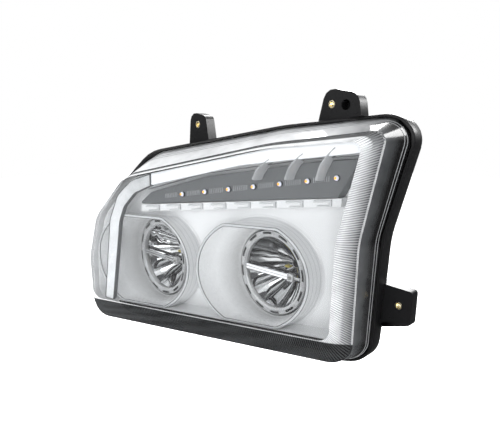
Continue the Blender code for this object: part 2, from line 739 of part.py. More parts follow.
def make_connector(mat, pin_mat):
    """Electrical socket on the rear wall and its row of blades."""
    back = CONNECTOR_Y
    rings = [upright(rectangle(-105.6, -70.4, 41.4, 58.6), back - 16),
             upright(rectangle(-105.6, -70.4, 41.4, 58.6), back + GAP),
             upright(rectangle(-112, -64, 36, 64), back + GAP),
             upright(rectangle(-112, -64, 36, 64), back + 3.5),
             upright(rectangle(-107, -69, 40, 60), back + 3.5),
             upright(rectangle(-107, -69, 40, 60), back + 24),
             upright(rectangle(-105, -71, 42, 58), back + 24),
             upright(rectangle(-105, -71, 42, 58), back + 6)]
    loft("connector_socket", rings, mat)
    row = comb_mesh(-103.0, -73.0, (back + 6.4, back + 8, back + 20), 6, 1.6, 49.4, 50.6)
    finish("connector_blades", row, pin_mat)


def cable(name, points, radius, mat):
    """A round cable along a smooth path, with filled ends."""
    curve = bpy.data.curves.new(name, "CURVE")
    curve.dimensions = "3D"
    curve.bevel_depth = radius * MM
    curve.bevel_resolution = 1
    curve.use_fill_caps = True
    curve.resolution_u = 4
    spline = curve.splines.new("BEZIER")
    spline.bezier_points.add(len(points) - 1)
    for knot, place in zip(spline.bezier_points, points):
        knot.co = Vector(place) * MM
        knot.handle_left_type = "AUTO"
        knot.handle_right_type = "AUTO"
    obj = bpy.data.objects.new(name, curve)
    obj.location = -Vector(FIXING_POINT) * MM
    curve.materials.append(mat)
    bpy.context.scene.collection.objects.link(obj)
    return obj


def make_cables(mat):
    """Leads from the socket to each lamp's heat sink."""
    start = CONNECTOR_Y - 17.0
    cable("cable_outboard", [(-80, start, 50), (-80, start - 7, 50), (-74, start - 14, 62), (-52, 62, 70),
                             (-22, 66, 66), (-6, 70, 46)], 2.2, mat)
    cable("cable_inboard", [(-96, start, 50), (-96, start - 7, 50), (-102, start - 16, 62), (-124, 40, 68),
                            (-158, 16, 64), (-172, 12, 46)], 2.2, mat)


def build():
    """Makes every piece."""
    for obj in list(bpy.data.objects):
        bpy.data.objects.remove(obj)
    black = material("black_moulding", (0.012, 0.012, 0.013), 0.32)
    rubber = material("black_rubber", (0.02, 0.02, 0.02), 0.8)
    clear = material("clear_polycarbonate", (0.92, 0.95, 0.96), 0.05, alpha=0.25)
    frosted = material("frosted_guide", (0.86, 0.89, 0.9), 0.3, alpha=0.6)
    white = material("white_guide", (0.93, 0.94, 0.95), 0.25)
    pale = material("pale_satin_trim", (0.78, 0.8, 0.81), 0.35)
    grey = material("grey_panel", (0.16, 0.17, 0.18), 0.45)
    chrome = material("bright_chrome", (0.88, 0.89, 0.9), 0.06, 1.0)
    metal = material("cast_aluminium", (0.55, 0.56, 0.57), 0.45, 1.0)
    steel = material("plated_steel", (0.6, 0.6, 0.6), 0.3, 1.0)
    brass = material("brass", (0.72, 0.55, 0.28), 0.3, 1.0)
    green = material("circuit_board", (0.02, 0.16, 0.07), 0.5)
    amber = material("amber_diode", (0.95, 0.75, 0.4), 0.2)
    phosphor = material("phosphor", (0.95, 0.8, 0.25), 0.5)
    nylon = material("grey_nylon", (0.25, 0.26, 0.27), 0.5)

    make_housing(black)
    make_lens(clear)
    make_seal(rubber)
    make_inserts(brass)
    make_bezel(pale)
    make_panel(grey)
    make_shelf(pale)
    make_daylight(white, frosted)
    make_fins(pale)
    make_signal(green, amber)
    for side in LAMP_X:
        make_ring(side, chrome)
        make_reflectors(side, chrome)
        make_blade(side, chrome, phosphor)
        make_heat_sink(side, metal)
        make_carrier(side, nylon)
        make_yoke(side, nylon)
        make_aiming(side, steel, nylon)
        make_cap(side, black, rubber)
    make_vents(rubber)
    make_driver(metal, rubber, steel)
    make_connector(black, brass)
    make_cables(rubber)


build()
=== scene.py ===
"""Looks of the twin-lamp vehicle headlight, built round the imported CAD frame.

The CAD frame has its origin at the upper outboard fixing point, -Y forward, +X outboard, +Z up, in
metres. The layout here is in millimetres from the centre of the outboard lamp's opening, and is moved
to the fixing point and turned into metres when a mesh is made. The front pieces are drawn flat in X
and Z and laid on a plane that sweeps back outboard; "depth" is the distance behind that plane.
"""
import math

import bpy
import bmesh
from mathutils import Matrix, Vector


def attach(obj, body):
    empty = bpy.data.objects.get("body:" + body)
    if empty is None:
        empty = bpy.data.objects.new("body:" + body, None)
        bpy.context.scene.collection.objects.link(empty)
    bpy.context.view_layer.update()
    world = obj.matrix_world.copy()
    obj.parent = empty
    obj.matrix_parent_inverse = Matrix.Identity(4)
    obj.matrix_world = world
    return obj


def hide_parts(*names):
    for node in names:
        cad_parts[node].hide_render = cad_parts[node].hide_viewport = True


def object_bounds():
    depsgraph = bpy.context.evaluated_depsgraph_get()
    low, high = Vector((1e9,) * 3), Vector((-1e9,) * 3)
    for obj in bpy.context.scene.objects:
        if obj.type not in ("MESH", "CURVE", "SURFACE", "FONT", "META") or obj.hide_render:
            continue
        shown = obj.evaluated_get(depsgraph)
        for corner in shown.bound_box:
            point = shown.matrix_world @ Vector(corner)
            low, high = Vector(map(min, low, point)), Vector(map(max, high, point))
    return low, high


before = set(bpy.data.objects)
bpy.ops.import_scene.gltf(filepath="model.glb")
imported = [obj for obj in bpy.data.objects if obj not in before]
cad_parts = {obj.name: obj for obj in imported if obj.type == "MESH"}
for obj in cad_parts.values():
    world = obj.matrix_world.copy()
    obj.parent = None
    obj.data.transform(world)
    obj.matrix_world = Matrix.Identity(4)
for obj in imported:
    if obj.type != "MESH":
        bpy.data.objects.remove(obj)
cad_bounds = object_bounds()

MM = 0.001  # metres in a millimetre
FIXING_POINT = (64.0, 50.0, 211.0)  # the CAD frame's origin in the layout
ORIGIN = Vector(FIXING_POINT) * MM
SWEEP = math.tan(math.radians(20.0))  # how far the front plane leans back outboard
SWEEP_X = -10.0  # where the swept plane is measured
SWEEP_Y = -38.0  # its Y there
LAMP_X = {"outboard": 0.0, "inboard": -176.0}  # lamp axes
LAMP_Y = {"outboard": 0.0, "inboard": -58.0}  # planes of the lamp openings
OPENING_R = 50.0  # clear radius of each lamp
RIM_R = 75.0  # rounded sides of each shroud rim
RIM_FLAT = 66.0  # flat top and bottom of each shroud rim
RIM_WIDTH = 3.4  # width of the rolled rim
FLOOR_DEPTH = 25.0  # depth of the tray's floor
PANEL_DEPTH = 10.0  # depth of the signal panel's face
ARC_STEPS = 14  # facets in each rounded outline corner

# Outlines seen from the front: corners as (x, z, corner radius)
LENS_OUTLINE = [(-264, -98, 26), (125, -98, 30), (128, 60, 150), (153, 194, 12),
                (20, 177, 400), (-190, 130, 60), (-244, 66, 60), (-262, 0, 90)]
FLANGE_OUTLINE = [(-280, -112, 34), (128, -112, 34), (136, 62, 150), (172, 216, 32),
                  (10, 199, 400), (-190, 162, 60), (-262, 92, 60), (-279, 8, 90)]
CLEAR_OUTLINE = [(-254, -66.5, 16), (102, -66.5, 14), (106, 60, 100), (132, 181, 10),
                 (20, 171, 400), (-188, 125, 50), (-239, 65, 50), (-256, 0, 90)]
BEZEL_OUTLINE = [(-260, -70, 18), (119, -70, 14), (123, 60, 120), (145, 187, 10),
                 (18, 171, 400), (-188, 125, 50), (-239, 64, 50), (-257, 0, 90)]
BEZEL_FLOOR = [(-249, -66, 14), (100, -66, 12), (104, 60, 100), (120, 176, 8),
               (10, 161, 300), (-184, 116, 40), (-229, 60, 40), (-246, 0, 90)]
PANEL_OUTLINE = [(-187, 85, 2), (94, 112, 3), (119, 160, 3), (60, 154, 200),
                 (-81, 130, 200), (-166, 104, 20)]
BAR_OUTLINE = [(-150, 133, 1), (-150, 116, 1), (-20, 148, 200), (70, 160, 200),
               (131, 168, 2), (139, 184, 3), (20, 171, 300)]
TAIL_OUTLINE = [(-151, 132, 1), (-183, 121, 30), (-208, 98, 30), (-224, 60, 40), (-241, -66, 2),
                (-226, -68, 2), (-206, 60, 40), (-197, 82, 20), (-178, 103, 20), (-151, 115, 1)]
FIN_X = (0.0, 41.0, 78.0)  # feet of the curved fins
FIN_TOP = (158.0, 166.0, 174.0)
FIN_BOTTOM = (130.0, 132.0, 133.0)
FIN_LEAN = 20.0  # how far each fin leans outboard at its top
LED_COUNT = 7
LED_FIRST = (-115.0, 104.0)  # x and z of the first signal diode
LED_PITCH = 34.5
LED_RISE = 0.155  # rise of the diode row along x
TICKS_PER_LED = 8
FIRST_TICK_X = -150.0  # no ticks further inboard than this
BRACKETS = 8  # raised brackets on the ledge
RING_SLOTS = 12

# Reflector halves: petals round the arc, ripples inwards, depth of each petal
PETALS = {("outboard", "upper"): (5, 3, 2.6), ("outboard", "lower"): (5, 0, 3.4),
          ("inboard", "upper"): (4, 6, 2.0), ("inboard", "lower"): (5, 0, 3.4)}
PETAL_STEPS = 12  # facets across a petal
BOWL_STEPS = 18  # rows from a reflector's mouth to its middle
BOWL_DEPTH = 46.0  # how deep a reflector runs

FLUTE_PITCH = 3.1  # spacing of the fine flutes round the lens border
FLUTE_HEIGHT = 0.22
SAMPLE = 0.62  # spacing of points along a fluted outline
LENS_EDGE = -4.0  # depth where the lens skirt starts
LENS_FACE = -12.5  # depth of the clear face at its edge
LENS_SHOULDER = -5.8  # depth of the fluted border's outer edge
LENS_CROWN = 8.0  # bulge of the lens face
LENS_FOOT = 46.7  # depth where the lens skirt ends in its channel

# Places where finishes change, in layout metres
INBOARD_END = (-0.19, -0.21)  # along X, where the lens turns pale
INBOARD_GLOW = (-0.17, -0.22)  # along X, where light scatters in the lens
CLEAR_BOTTOM = (-0.0668, -0.0682)  # along Z, the lower edge of the clear area
CORNER_FADE = (0.145, 0.085)  # along X, where the skirt's painted pale sheen on faces turned up or inboard ends

# Soft lights: name, place in layout metres, size, power, shown in mirrors
LIGHTS = (
    ("key", (-0.55, -0.9, 1.0), 0.9, 7.0, True),
    ("fill", (0.9, -0.7, 0.5), 0.8, 2.5, True),
    ("top", (0.0, 0.1, 1.1), 0.8, 4.0, True),
    ("front", (-0.1, -1.3, 0.2), 1.2, 9.0, False),
    ("back", (-0.6, 1.3, 0.9), 1.0, 45.0, True),
    ("back_side", (0.8, 1.1, 0.9), 0.6, 16.0, True),
)
LIGHT_AIM = Vector((-0.06, 0.0, 0.04))

# What mirrors see of the surround, from straight down (0) to straight up (1): place and brightness
MIRRORED_SKY = ((0.0, 0.3), (0.3, 0.22), (0.42, 0.05), (0.53, 0.1), (0.58, 0.9), (0.68, 1.2),
                (0.76, 0.25), (1.0, 1.1))
FLOOR_DROP = 0.3  # floor below the lamp, metres
FLOOR_HALF = 6.0  # half width of the floor, metres

CAMERA_PLACE = Vector((0.414, -0.462, 0.194))  # layout metres
CAMERA_AZIMUTH = math.radians(44.9)
CAMERA_PITCH = math.radians(11.4)
CAMERA_LENS = 33.55
SENSOR_WIDTH = 36.0


# ---------------------------------------------------------------- outlines

def face_y(x):
    """Y of the swept front plane."""
    return SWEEP_Y + SWEEP * (x - SWEEP_X)


def rounded(corners, steps=ARC_STEPS):
    """A closed outline with an arc at each corner."""
    loop = []
    count = len(corners)
    for i, (x, z, radius) in enumerate(corners):
        here = Vector((x, z))
        before = Vector(corners[i - 1][:2]) - here
        after = Vector(corners[(i + 1) % count][:2]) - here
        cosine = before.normalized().dot(after.normalized())
        half = math.acos(max(-1.0, min(1.0, cosine))) / 2
        reach = min(radius / math.tan(half), 0.46 * min(before.length, after.length))
        a = before.normalized()
        b = after.normalized()
        centre = here + (a + b).normalized() * (reach * math.tan(half) / math.sin(half))
        start = here + a * reach - centre
        turn = start.angle_signed(here + b * reach - centre)
        for k in range(steps + 1):
            angle = -turn * k / steps
            loop.append((centre.x + start.x * math.cos(angle) - start.y * math.sin(angle),
                         centre.y + start.x * math.sin(angle) + start.y * math.cos(angle)))
    return loop


def area(loop):
    """Signed area of an outline."""
    return sum(x0 * z1 - x1 * z0 for (x0, z0), (x1, z1) in zip(loop, loop[1:] + loop[:1])) / 2


def inset(loop, distance):
    """The outline moved inwards by a distance, outwards when it is negative."""
    sign = 1.0 if area(loop) > 0 else -1.0
    moved = []
    count = len(loop)
    for i in range(count):
        here = Vector(loop[i])
        before = (here - Vector(loop[i - 1])).normalized()
        after = (Vector(loop[(i + 1) % count]) - here).normalized()
        n0 = Vector((-before.y, before.x)) * sign
        n1 = Vector((-after.y, after.x)) * sign
        mid = (n0 + n1).normalized()
        step = distance / max(0.5, mid.dot(n1))
        moved.append((here.x + mid.x * step, here.y + mid.y * step))
    return moved


def dense(loop, spacing):
    """Adds points along the long straight stretches of an outline."""
    points = []
    for (x0, z0), (x1, z1) in zip(loop, loop[1:] + loop[:1]):
        parts = max(1, round(math.hypot(x1 - x0, z1 - z0) / spacing))
        points += [(x0 + (x1 - x0) * k / parts, z0 + (z1 - z0) * k / parts) for k in range(parts)]
    return points


def matched(outlines, spacing):
    """Outlines with equal corner lists, given extra points at the same stations in each."""
    loops = [rounded(corners) for corners in outlines]
    count = len(loops[0])
    result = [[] for _ in loops]
    for i in range(count):
        j = (i + 1) % count
        longest = max(math.dist(loop[i], loop[j]) for loop in loops)
        parts = max(1, round(longest / spacing))
        for k in range(parts):
            t = k / parts
            for loop, out in zip(loops, result):
                out.append((loop[i][0] + (loop[j][0] - loop[i][0]) * t,
                            loop[i][1] + (loop[j][1] - loop[i][1]) * t))
    return result


def scaled(loop, factor):
    """The outline shrunk towards the middle of the lamp."""
    cx = sum(p[0] for p in loop) / len(loop)
    cz = sum(p[1] for p in loop) / len(loop)
    return [(cx + (x - cx) * factor, cz + (z - cz) * factor) for x, z in loop]


def mixed(loop_a, loop_b, t):
    """An outline part of the way from one to another."""
    return [(a[0] + (b[0] - a[0]) * t, a[1] + (b[1] - a[1]) * t) for a, b in zip(loop_a, loop_b)]


def rim(cx, radius, top, bottom, count=144):
    """A circle cut by flats above and below."""
    loop = []
    for k in range(count):
        angle = 2 * math.pi * (k + 0.5) / count
        z = radius * math.sin(angle)
        loop.append((cx + radius * math.cos(angle), max(-bottom, min(top, z))))
    return loop


def swept(loop, depth):
    """Lays an outline on the swept plane."""
    return [(x, face_y(x) + depth, z) for x, z in loop]


def upright(loop, y):
    """Lays an outline square to the vehicle."""
    return [(x, y, z) for x, z in loop]


def round_loop(cx, cz, radius, count=48):
    """A round outline."""
    return [(cx + radius * math.cos(2 * math.pi * k / count),
             cz + radius * math.sin(2 * math.pi * k / count)) for k in range(count)]


def rectangle(x0, x1, z0, z1):
    """A rectangular outline."""
    return [(x0, z0), (x1, z0), (x1, z1), (x0, z1)]


# ---------------------------------------------------------------- meshes

def finish_mesh(name, bm, mat, body="lamp_body", smooth_deg=40, replaces=(), slot=None):
    """Turns a mesh in layout millimetres into a named piece that rides on a CAD body."""
    bmesh.ops.translate(bm, verts=bm.verts, vec=-Vector(FIXING_POINT))
    bmesh.ops.scale(bm, verts=bm.verts, vec=(MM, MM, MM))
    mesh = bpy.data.meshes.new(name)
    bm.to_mesh(mesh)
    bm.free()
    mesh.materials.append(mat)
    mesh.shade_smooth()
    mesh.set_sharp_from_angle(angle=math.radians(smooth_deg))
    obj = bpy.data.objects.new(name, mesh)
    bpy.context.scene.collection.objects.link(obj)
    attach(obj, body)
    if replaces:
        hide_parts(*replaces)
    return obj


def skin(rings, looped=False, capped=False, closed=True, pitch=1.0):
    """Skins rings of equal length. UV u counts pitches along the ring, v runs 0 to 1 across the rings."""
    bm = bmesh.new()
    uv = bm.loops.layers.uv.new("UVMap")
    rows = [[bm.verts.new(p) for p in ring] for ring in rings]
    base = rings[len(rings) // 2]
    count = len(base)
    along = [0.0]
    for i in range(count):
        along.append(along[-1] + math.dist(base[i], base[(i + 1) % count]))
    pairs = list(zip(range(len(rows)), range(1, len(rows))))
    if looped:
        pairs.append((len(rows) - 1, 0))
    for a, b in pairs:
        for i in range(count if closed else count - 1):
            j = (i + 1) % count
            face = bm.faces.new((rows[a][i], rows[a][j], rows[b][j], rows[b][i]))
            top = b if b > a else len(rows)
            places = ((i, a), (i + 1, a), (i + 1, top), (i, top))
            for corner, (u, v) in zip(face.loops, places):
                corner[uv].uv = (along[u] / pitch, v / (len(rows) - 1 + looped))
    if capped:
        bm.faces.new(list(reversed(rows[0])))
        bm.faces.new(rows[-1])
    return bm


def solid(rings, looped=False, closed=True, pitch=1.0):
    """A closed solid skinned over rings, faces pointing out."""
    bm = skin(rings, looped=looped, capped=not looped, closed=closed, pitch=pitch)
    bmesh.ops.recalc_face_normals(bm, faces=bm.faces)
    bmesh.ops.triangulate(bm, faces=[f for f in bm.faces if len(f.verts) > 4])
    return bm


def turned(profile, centre, count=96, closed_profile=False):
    """A profile of (radius, y) turned about an axis along Y."""
    rings = [upright(round_loop(*centre, radius, count), y) for radius, y in profile]
    if closed_profile:
        bm = skin(rings, looped=True)
        bmesh.ops.recalc_face_normals(bm, faces=bm.faces)
        return bm
    return solid(rings)


def bevelled(obj, width, segments=2, angle=40):
    """Rounds the edges of a piece."""
    step = obj.modifiers.new("edge_round", "BEVEL")
    step.width = width * MM
    step.segments = segments
    step.limit_method = "ANGLE"
    step.angle_limit = math.radians(angle)
    step.harden_normals = True
    return obj


def sheet_with_holes(outer, holes, depth):
    """A flat sheet on the swept plane with openings."""
    bm = bmesh.new()
    edges = []
    for loop in [outer] + holes:
        row = [bm.verts.new(p) for p in swept(loop, depth)]
        edges += [bm.edges.new((row[i], row[(i + 1) % len(row)])) for i in range(len(row))]
    bmesh.ops.triangle_fill(bm, use_beauty=True, use_dissolve=False, edges=edges)
    for face in bm.faces:
        if face.normal.y > 0:
            face.normal_flip()
    return bm


# ---------------------------------------------------------------- materials

def new_material(name):
    """An empty node material and its node tree."""
    mat = bpy.data.materials.new(name)
    mat.use_nodes = True
    mat.node_tree.nodes.clear()
    return mat, mat.node_tree


def node(tree, kind, **values):
    """Adds a node; values set inputs by name, with spaces written as underscores."""
    made = tree.nodes.new(kind)
    for key, value in values.items():
        if hasattr(made, key):
            setattr(made, key, value)
        else:
            made.inputs[key.replace("_", " ")].default_value = value
    return made


def feed(tree, slots, values):
    """Sets inputs from plain numbers or from other nodes' outputs."""
    for slot, value in zip(slots, values):
        if isinstance(value, float):
            slot.default_value = value
        else:
            tree.links.new(value, slot)


def combined(tree, operation, *values):
    """Numbers or outputs put together by a maths operation."""
    made = node(tree, "ShaderNodeMath", operation=operation)
    feed(tree, made.inputs, values)
    return made.outputs[0]


def mixed_shaders(tree, factor, low, high):
    """Two shaders mixed by a number or an output."""
    made = node(tree, "ShaderNodeMixShader")
    feed(tree, made.inputs, (factor, low, high))
    return made.outputs[0]


def ranged(tree, value, low, high, to_low=0.0, to_high=1.0):
    """A value mapped from one range to another and held inside it."""
    made = node(tree, "ShaderNodeMapRange")
    feed(tree, [made.inputs[key] for key in ("Value", "From Min", "From Max", "To Min", "To Max")],
         (value, float(low), float(high), float(to_low), float(to_high)))
    return made.outputs["Result"]


def output_of(tree, kind, name):
    """A named output of a new node."""
    return tree.nodes.new(kind).outputs[name]


def part_of(tree, vector, axis):
    """One axis of a vector."""
    split = tree.nodes.new("ShaderNodeSeparateXYZ")
    tree.links.new(vector, split.inputs[0])
    return split.outputs[axis]


def relief(tree, height, strength, distance, *shaders):
    """Raises fine relief on shaders."""
    bump = node(tree, "ShaderNodeBump", Strength=strength, Distance=distance)
    tree.links.new(height, bump.inputs["Height"])
    for shader in shaders:
        tree.links.new(bump.outputs["Normal"], shader.inputs["Normal"])


def grain(tree, scale):
    """Fine noise in object space, 0 to 1."""
    noise = node(tree, "ShaderNodeTexNoise", Scale=scale, Detail=3.0)
    tree.links.new(output_of(tree, "ShaderNodeTexCoord", "Object"), noise.inputs["Vector"])
    return noise.outputs["Fac"]


def surface(name, colour, roughness, vary, bump, scale, metallic=0.0, coat=0.0, shine=0.5):
    """A Principled material whose colour, roughness and surface vary with fine noise."""
    mat, tree = new_material(name)
    out = node(tree, "ShaderNodeOutputMaterial")
    shader = node(tree, "ShaderNodeBsdfPrincipled", Metallic=metallic)
    shader.inputs["Specular IOR Level"].default_value = shine
    shader.inputs["Coat Weight"].default_value = coat
    shader.inputs["Coat Roughness"].default_value = 0.08
    fine = grain(tree, scale)
    low = [c * (1 - vary) for c in colour]
    high = [min(1, c * (1 + vary)) for c in colour]
    tree.links.new(shaded(tree, grain(tree, scale / 12), low, high), shader.inputs["Base Color"])
    rough = ranged(tree, fine, 0, 1, max(0.01, roughness * 0.76), min(1.0, roughness * 1.24))
    tree.links.new(rough, shader.inputs["Roughness"])
    relief(tree, fine, bump, 0.0002, shader)
    tree.links.new(shader.outputs["BSDF"], out.inputs["Surface"])
    return mat


def stripes(tree, sharpness):
    """A 0 to 1 wave along the piece's own UV, one period for each pitch."""
    u = part_of(tree, output_of(tree, "ShaderNodeUVMap", "UV"), "X")
    wave = combined(tree, "SINE", combined(tree, "MULTIPLY", u, 2 * math.pi))
    return ranged(tree, wave, -1.0 / sharpness, 1.0 / sharpness)


def clear_plastic(name, haze, haze_colour, gloss, bump):
    """Thin clear moulding: see-through, glossy at grazing angles, with some pale haze."""
    mat, tree = new_material(name)
    out = node(tree, "ShaderNodeOutputMaterial")
    through = node(tree, "ShaderNodeBsdfTransparent", Color=(0.97, 0.98, 0.985, 1))
    shine = node(tree, "ShaderNodeBsdfGlossy", Roughness=0.03)
    milky = node(tree, "ShaderNodeBsdfPrincipled", Roughness=0.25)
    noise = grain(tree, 60.0)
    low = [c * 0.9 for c in haze_colour]
    high = [min(1.0, c * 1.08) for c in haze_colour]
    tree.links.new(shaded(tree, noise, low, high), milky.inputs["Base Color"])
    fresnel = node(tree, "ShaderNodeFresnel", IOR=1.45)
    strength = node(tree, "ShaderNodeMath", operation="MULTIPLY", use_clamp=True)
    feed(tree, strength.inputs, (fresnel.outputs["Fac"], gloss))
    relief(tree, noise, bump, 0.0004, shine, milky, fresnel)
    hazed = mixed_shaders(tree, ranged(tree, noise, 0, 1, haze * 0.8, haze), through.outputs[0],
                          milky.outputs[0])
    final = mixed_shaders(tree, strength.outputs[0], hazed, shine.outputs[0])
    tree.links.new(final, out.inputs["Surface"])
    return mat


def partly_clear(tree, shader, tint, cover):
    """Ends a material with a shader over clear plastic; cover is how much hides what lies behind."""
    out = node(tree, "ShaderNodeOutputMaterial")
    through = node(tree, "ShaderNodeBsdfTransparent", Color=(*tint, 1))
    hazed = mixed_shaders(tree, cover, through.outputs[0], shader.outputs[0])
    tree.links.new(hazed, out.inputs["Surface"])


def multiplied(tree, colour, factor):
    """One colour or value output times another."""
    mix = node(tree, "ShaderNodeMix", data_type="RGBA")
    mix.blend_type = "MULTIPLY"
    feed(tree, (mix.inputs[0], mix.inputs[6], mix.inputs[7]), (1.0, colour, factor))
    return mix.outputs[2]


def facing(tree, axis, low, high):
    """0 to 1 as the surface turns to face along an axis: 0 below low, 1 above high."""
    return ranged(tree, part_of(tree, output_of(tree, "ShaderNodeNewGeometry", "Normal"), axis), low, high)


def place_mask(tree, axis, low, high):
    """0 to 1 between two places along an axis, in layout metres."""
    start = ORIGIN["XYZ".index(axis)]
    place = part_of(tree, output_of(tree, "ShaderNodeTexCoord", "Object"), axis)
    return ranged(tree, place, low - start, high - start)


def across(tree, low, high):
    """0 to 1 between two values of the piece's own UV v."""
    return ranged(tree, part_of(tree, output_of(tree, "ShaderNodeUVMap", "UV"), "Y"), low, high)


def shaded(tree, mask, low, high):
    """A colour that goes from one to another along a mask."""
    mix = node(tree, "ShaderNodeMix", data_type="RGBA")
    mix.inputs[6].default_value = (*low, 1)
    mix.inputs[7].default_value = (*high, 1)
    tree.links.new(mask, mix.inputs[0])
    return mix.outputs[2]


def blended(tree, mask, low, high):
    """A colour picked between two others' outputs by a mask."""
    mix = node(tree, "ShaderNodeMix", data_type="RGBA")
    feed(tree, (mix.inputs[0], mix.inputs[6], mix.inputs[7]), (mask, low, high))
    return mix.outputs[2]


def fluted_colour(tree, wave, right, top, bottom, outer, rim_top, inboard):
    """The colour of a fluted moulding, zone by zone."""
    # The wave picks groove or crest colour: painted shade in the grooves, painted highlight on the crests
    colour = shaded(tree, wave, *right)
    if outer:
        colour = blended(tree, across(tree, 0.25, 0.95), colour, shaded(tree, wave, *outer))
    if inboard:
        colour = blended(tree, place_mask(tree, "X", *INBOARD_END), colour, shaded(tree, wave, *inboard))
    # Where the surface leans up, a copy of the colour chosen by facing: painted light and shade from above
    if top:
        crown = shaded(tree, wave, *top)
        if rim_top:
            crown = blended(tree, across(tree, 0.5, 0.6), crown, shaded(tree, wave, *rim_top))
        colour = blended(tree, facing(tree, "Z", 0.08, 0.3), colour, crown)
    if bottom:
        colour = blended(tree, place_mask(tree, "Z", *CLEAR_BOTTOM), colour, shaded(tree, wave, *bottom))
    return colour


def fluted_plastic(name, right, top=None, bottom=None, outer=None, rim_top=None, inboard=None,
                   cover=0.95):
    """Fluted moulding that mostly hides what lies behind, with (groove, crest) colours for each zone:
    painted shade in the grooves and a painted highlight on the crests.

    right is used for the upright sides, turning to outer across the strip, and to inboard near that end.
    top is used where the surface leans up, a lit or shaded copy painted by facing, turning to rim_top at
    its edge. bottom is used below the clear area.
    """
    mat, tree = new_material(name)
    shader = node(tree, "ShaderNodeBsdfPrincipled", Roughness=0.2)
    shader.inputs["Specular IOR Level"].default_value = 0.2
    shader.inputs["Coat Weight"].default_value = 0.06
    shader.inputs["Coat Roughness"].default_value = 0.05
    wave = stripes(tree, 1.3)
    colour = fluted_colour(tree, wave, right, top, bottom, outer, rim_top, inboard)
    patchy = ranged(tree, grain(tree, 70), 0, 1, 0.72, 1.12)
    tree.links.new(multiplied(tree, colour, patchy), shader.inputs["Base Color"])
    if inboard:
        glow_inboard(tree, shader)
    relief(tree, wave, 0.8, 0.0004, shader)
    partly_clear(tree, shader, (0.95, 0.96, 0.97), cover)
    return mat


def glow_inboard(tree, shader):
    """Light scattered inside the clear plastic at the lamp's thin inboard end."""
    strength = combined(tree, "MULTIPLY", place_mask(tree, "X", *INBOARD_GLOW), 0.3)
    tree.links.new(shader.inputs["Base Color"].links[0].from_socket, shader.inputs["Emission Color"])
    tree.links.new(strength, shader.inputs["Emission Strength"])


def skirt_plastic():
    """Smooth side of the lens: a painted pale sheen where it faces up or inboard, and pale at the inboard
    end; dark where it faces outboard or down, darker still towards its foot.
    """
    mat, tree = new_material("lens_skirt")
    shader = node(tree, "ShaderNodeBsdfPrincipled", Roughness=0.16)
    shader.inputs["Specular IOR Level"].default_value = 0.3
    shader.inputs["Coat Weight"].default_value = 0.2
    shader.inputs["Coat Roughness"].default_value = 0.04
    # Faces turned up or inboard get a painted pale sheen, fading out towards the outboard corner
    inboard = combined(tree, "SUBTRACT", 1.0, facing(tree, "X", -0.75, -0.2))
    either = combined(tree, "MAXIMUM", facing(tree, "Z", -0.1, 1.0), inboard)
    fading = combined(tree, "MULTIPLY", either, place_mask(tree, "X", *CORNER_FADE))
    lit = combined(tree, "MAXIMUM", fading, place_mask(tree, "X", *INBOARD_END))
    noise = grain(tree, 45)
    painted_sheen_colour = shaded(tree, noise, (0.5, 0.51, 0.52), (0.92, 0.93, 0.94))
    front = shaded(tree, noise, (0.03, 0.032, 0.034), (0.09, 0.093, 0.097))
    foot = shaded(tree, noise, (0.003, 0.003, 0.003), (0.009, 0.009, 0.0095))
    dark = blended(tree, across(tree, 0.0, 0.38), front, foot)
    tree.links.new(blended(tree, lit, dark, painted_sheen_colour), shader.inputs["Base Color"])
    glow_inboard(tree, shader)
    relief(tree, noise, 0.05, 0.0004, shader)
    partly_clear(tree, shader, (0.9, 0.91, 0.92), 0.98)
    return mat


def with_painted_shade(mat, low, high, level):
    """Paints shade over a finish made by surface(): dims it across its piece, down to a fraction of its own
    colour.
    """
    tree = mat.node_tree
    shader = next(n for n in tree.nodes if n.type == "BSDF_PRINCIPLED")
    own = shader.inputs["Base Color"].links[0].from_socket
    dim = shaded(tree, across(tree, low, high), (1, 1, 1), (level,) * 3)
    tree.links.new(multiplied(tree, own, dim), shader.inputs["Base Color"])
    return mat


def glowing(mat, colour, strength):
    """Adds a little light of its own to a finish made by surface()."""
    shader = next(n for n in mat.node_tree.nodes if n.type == "BSDF_PRINCIPLED")
    shader.inputs["Emission Color"].default_value = (*colour, 1)
    shader.inputs["Emission Strength"].default_value = strength
    return mat


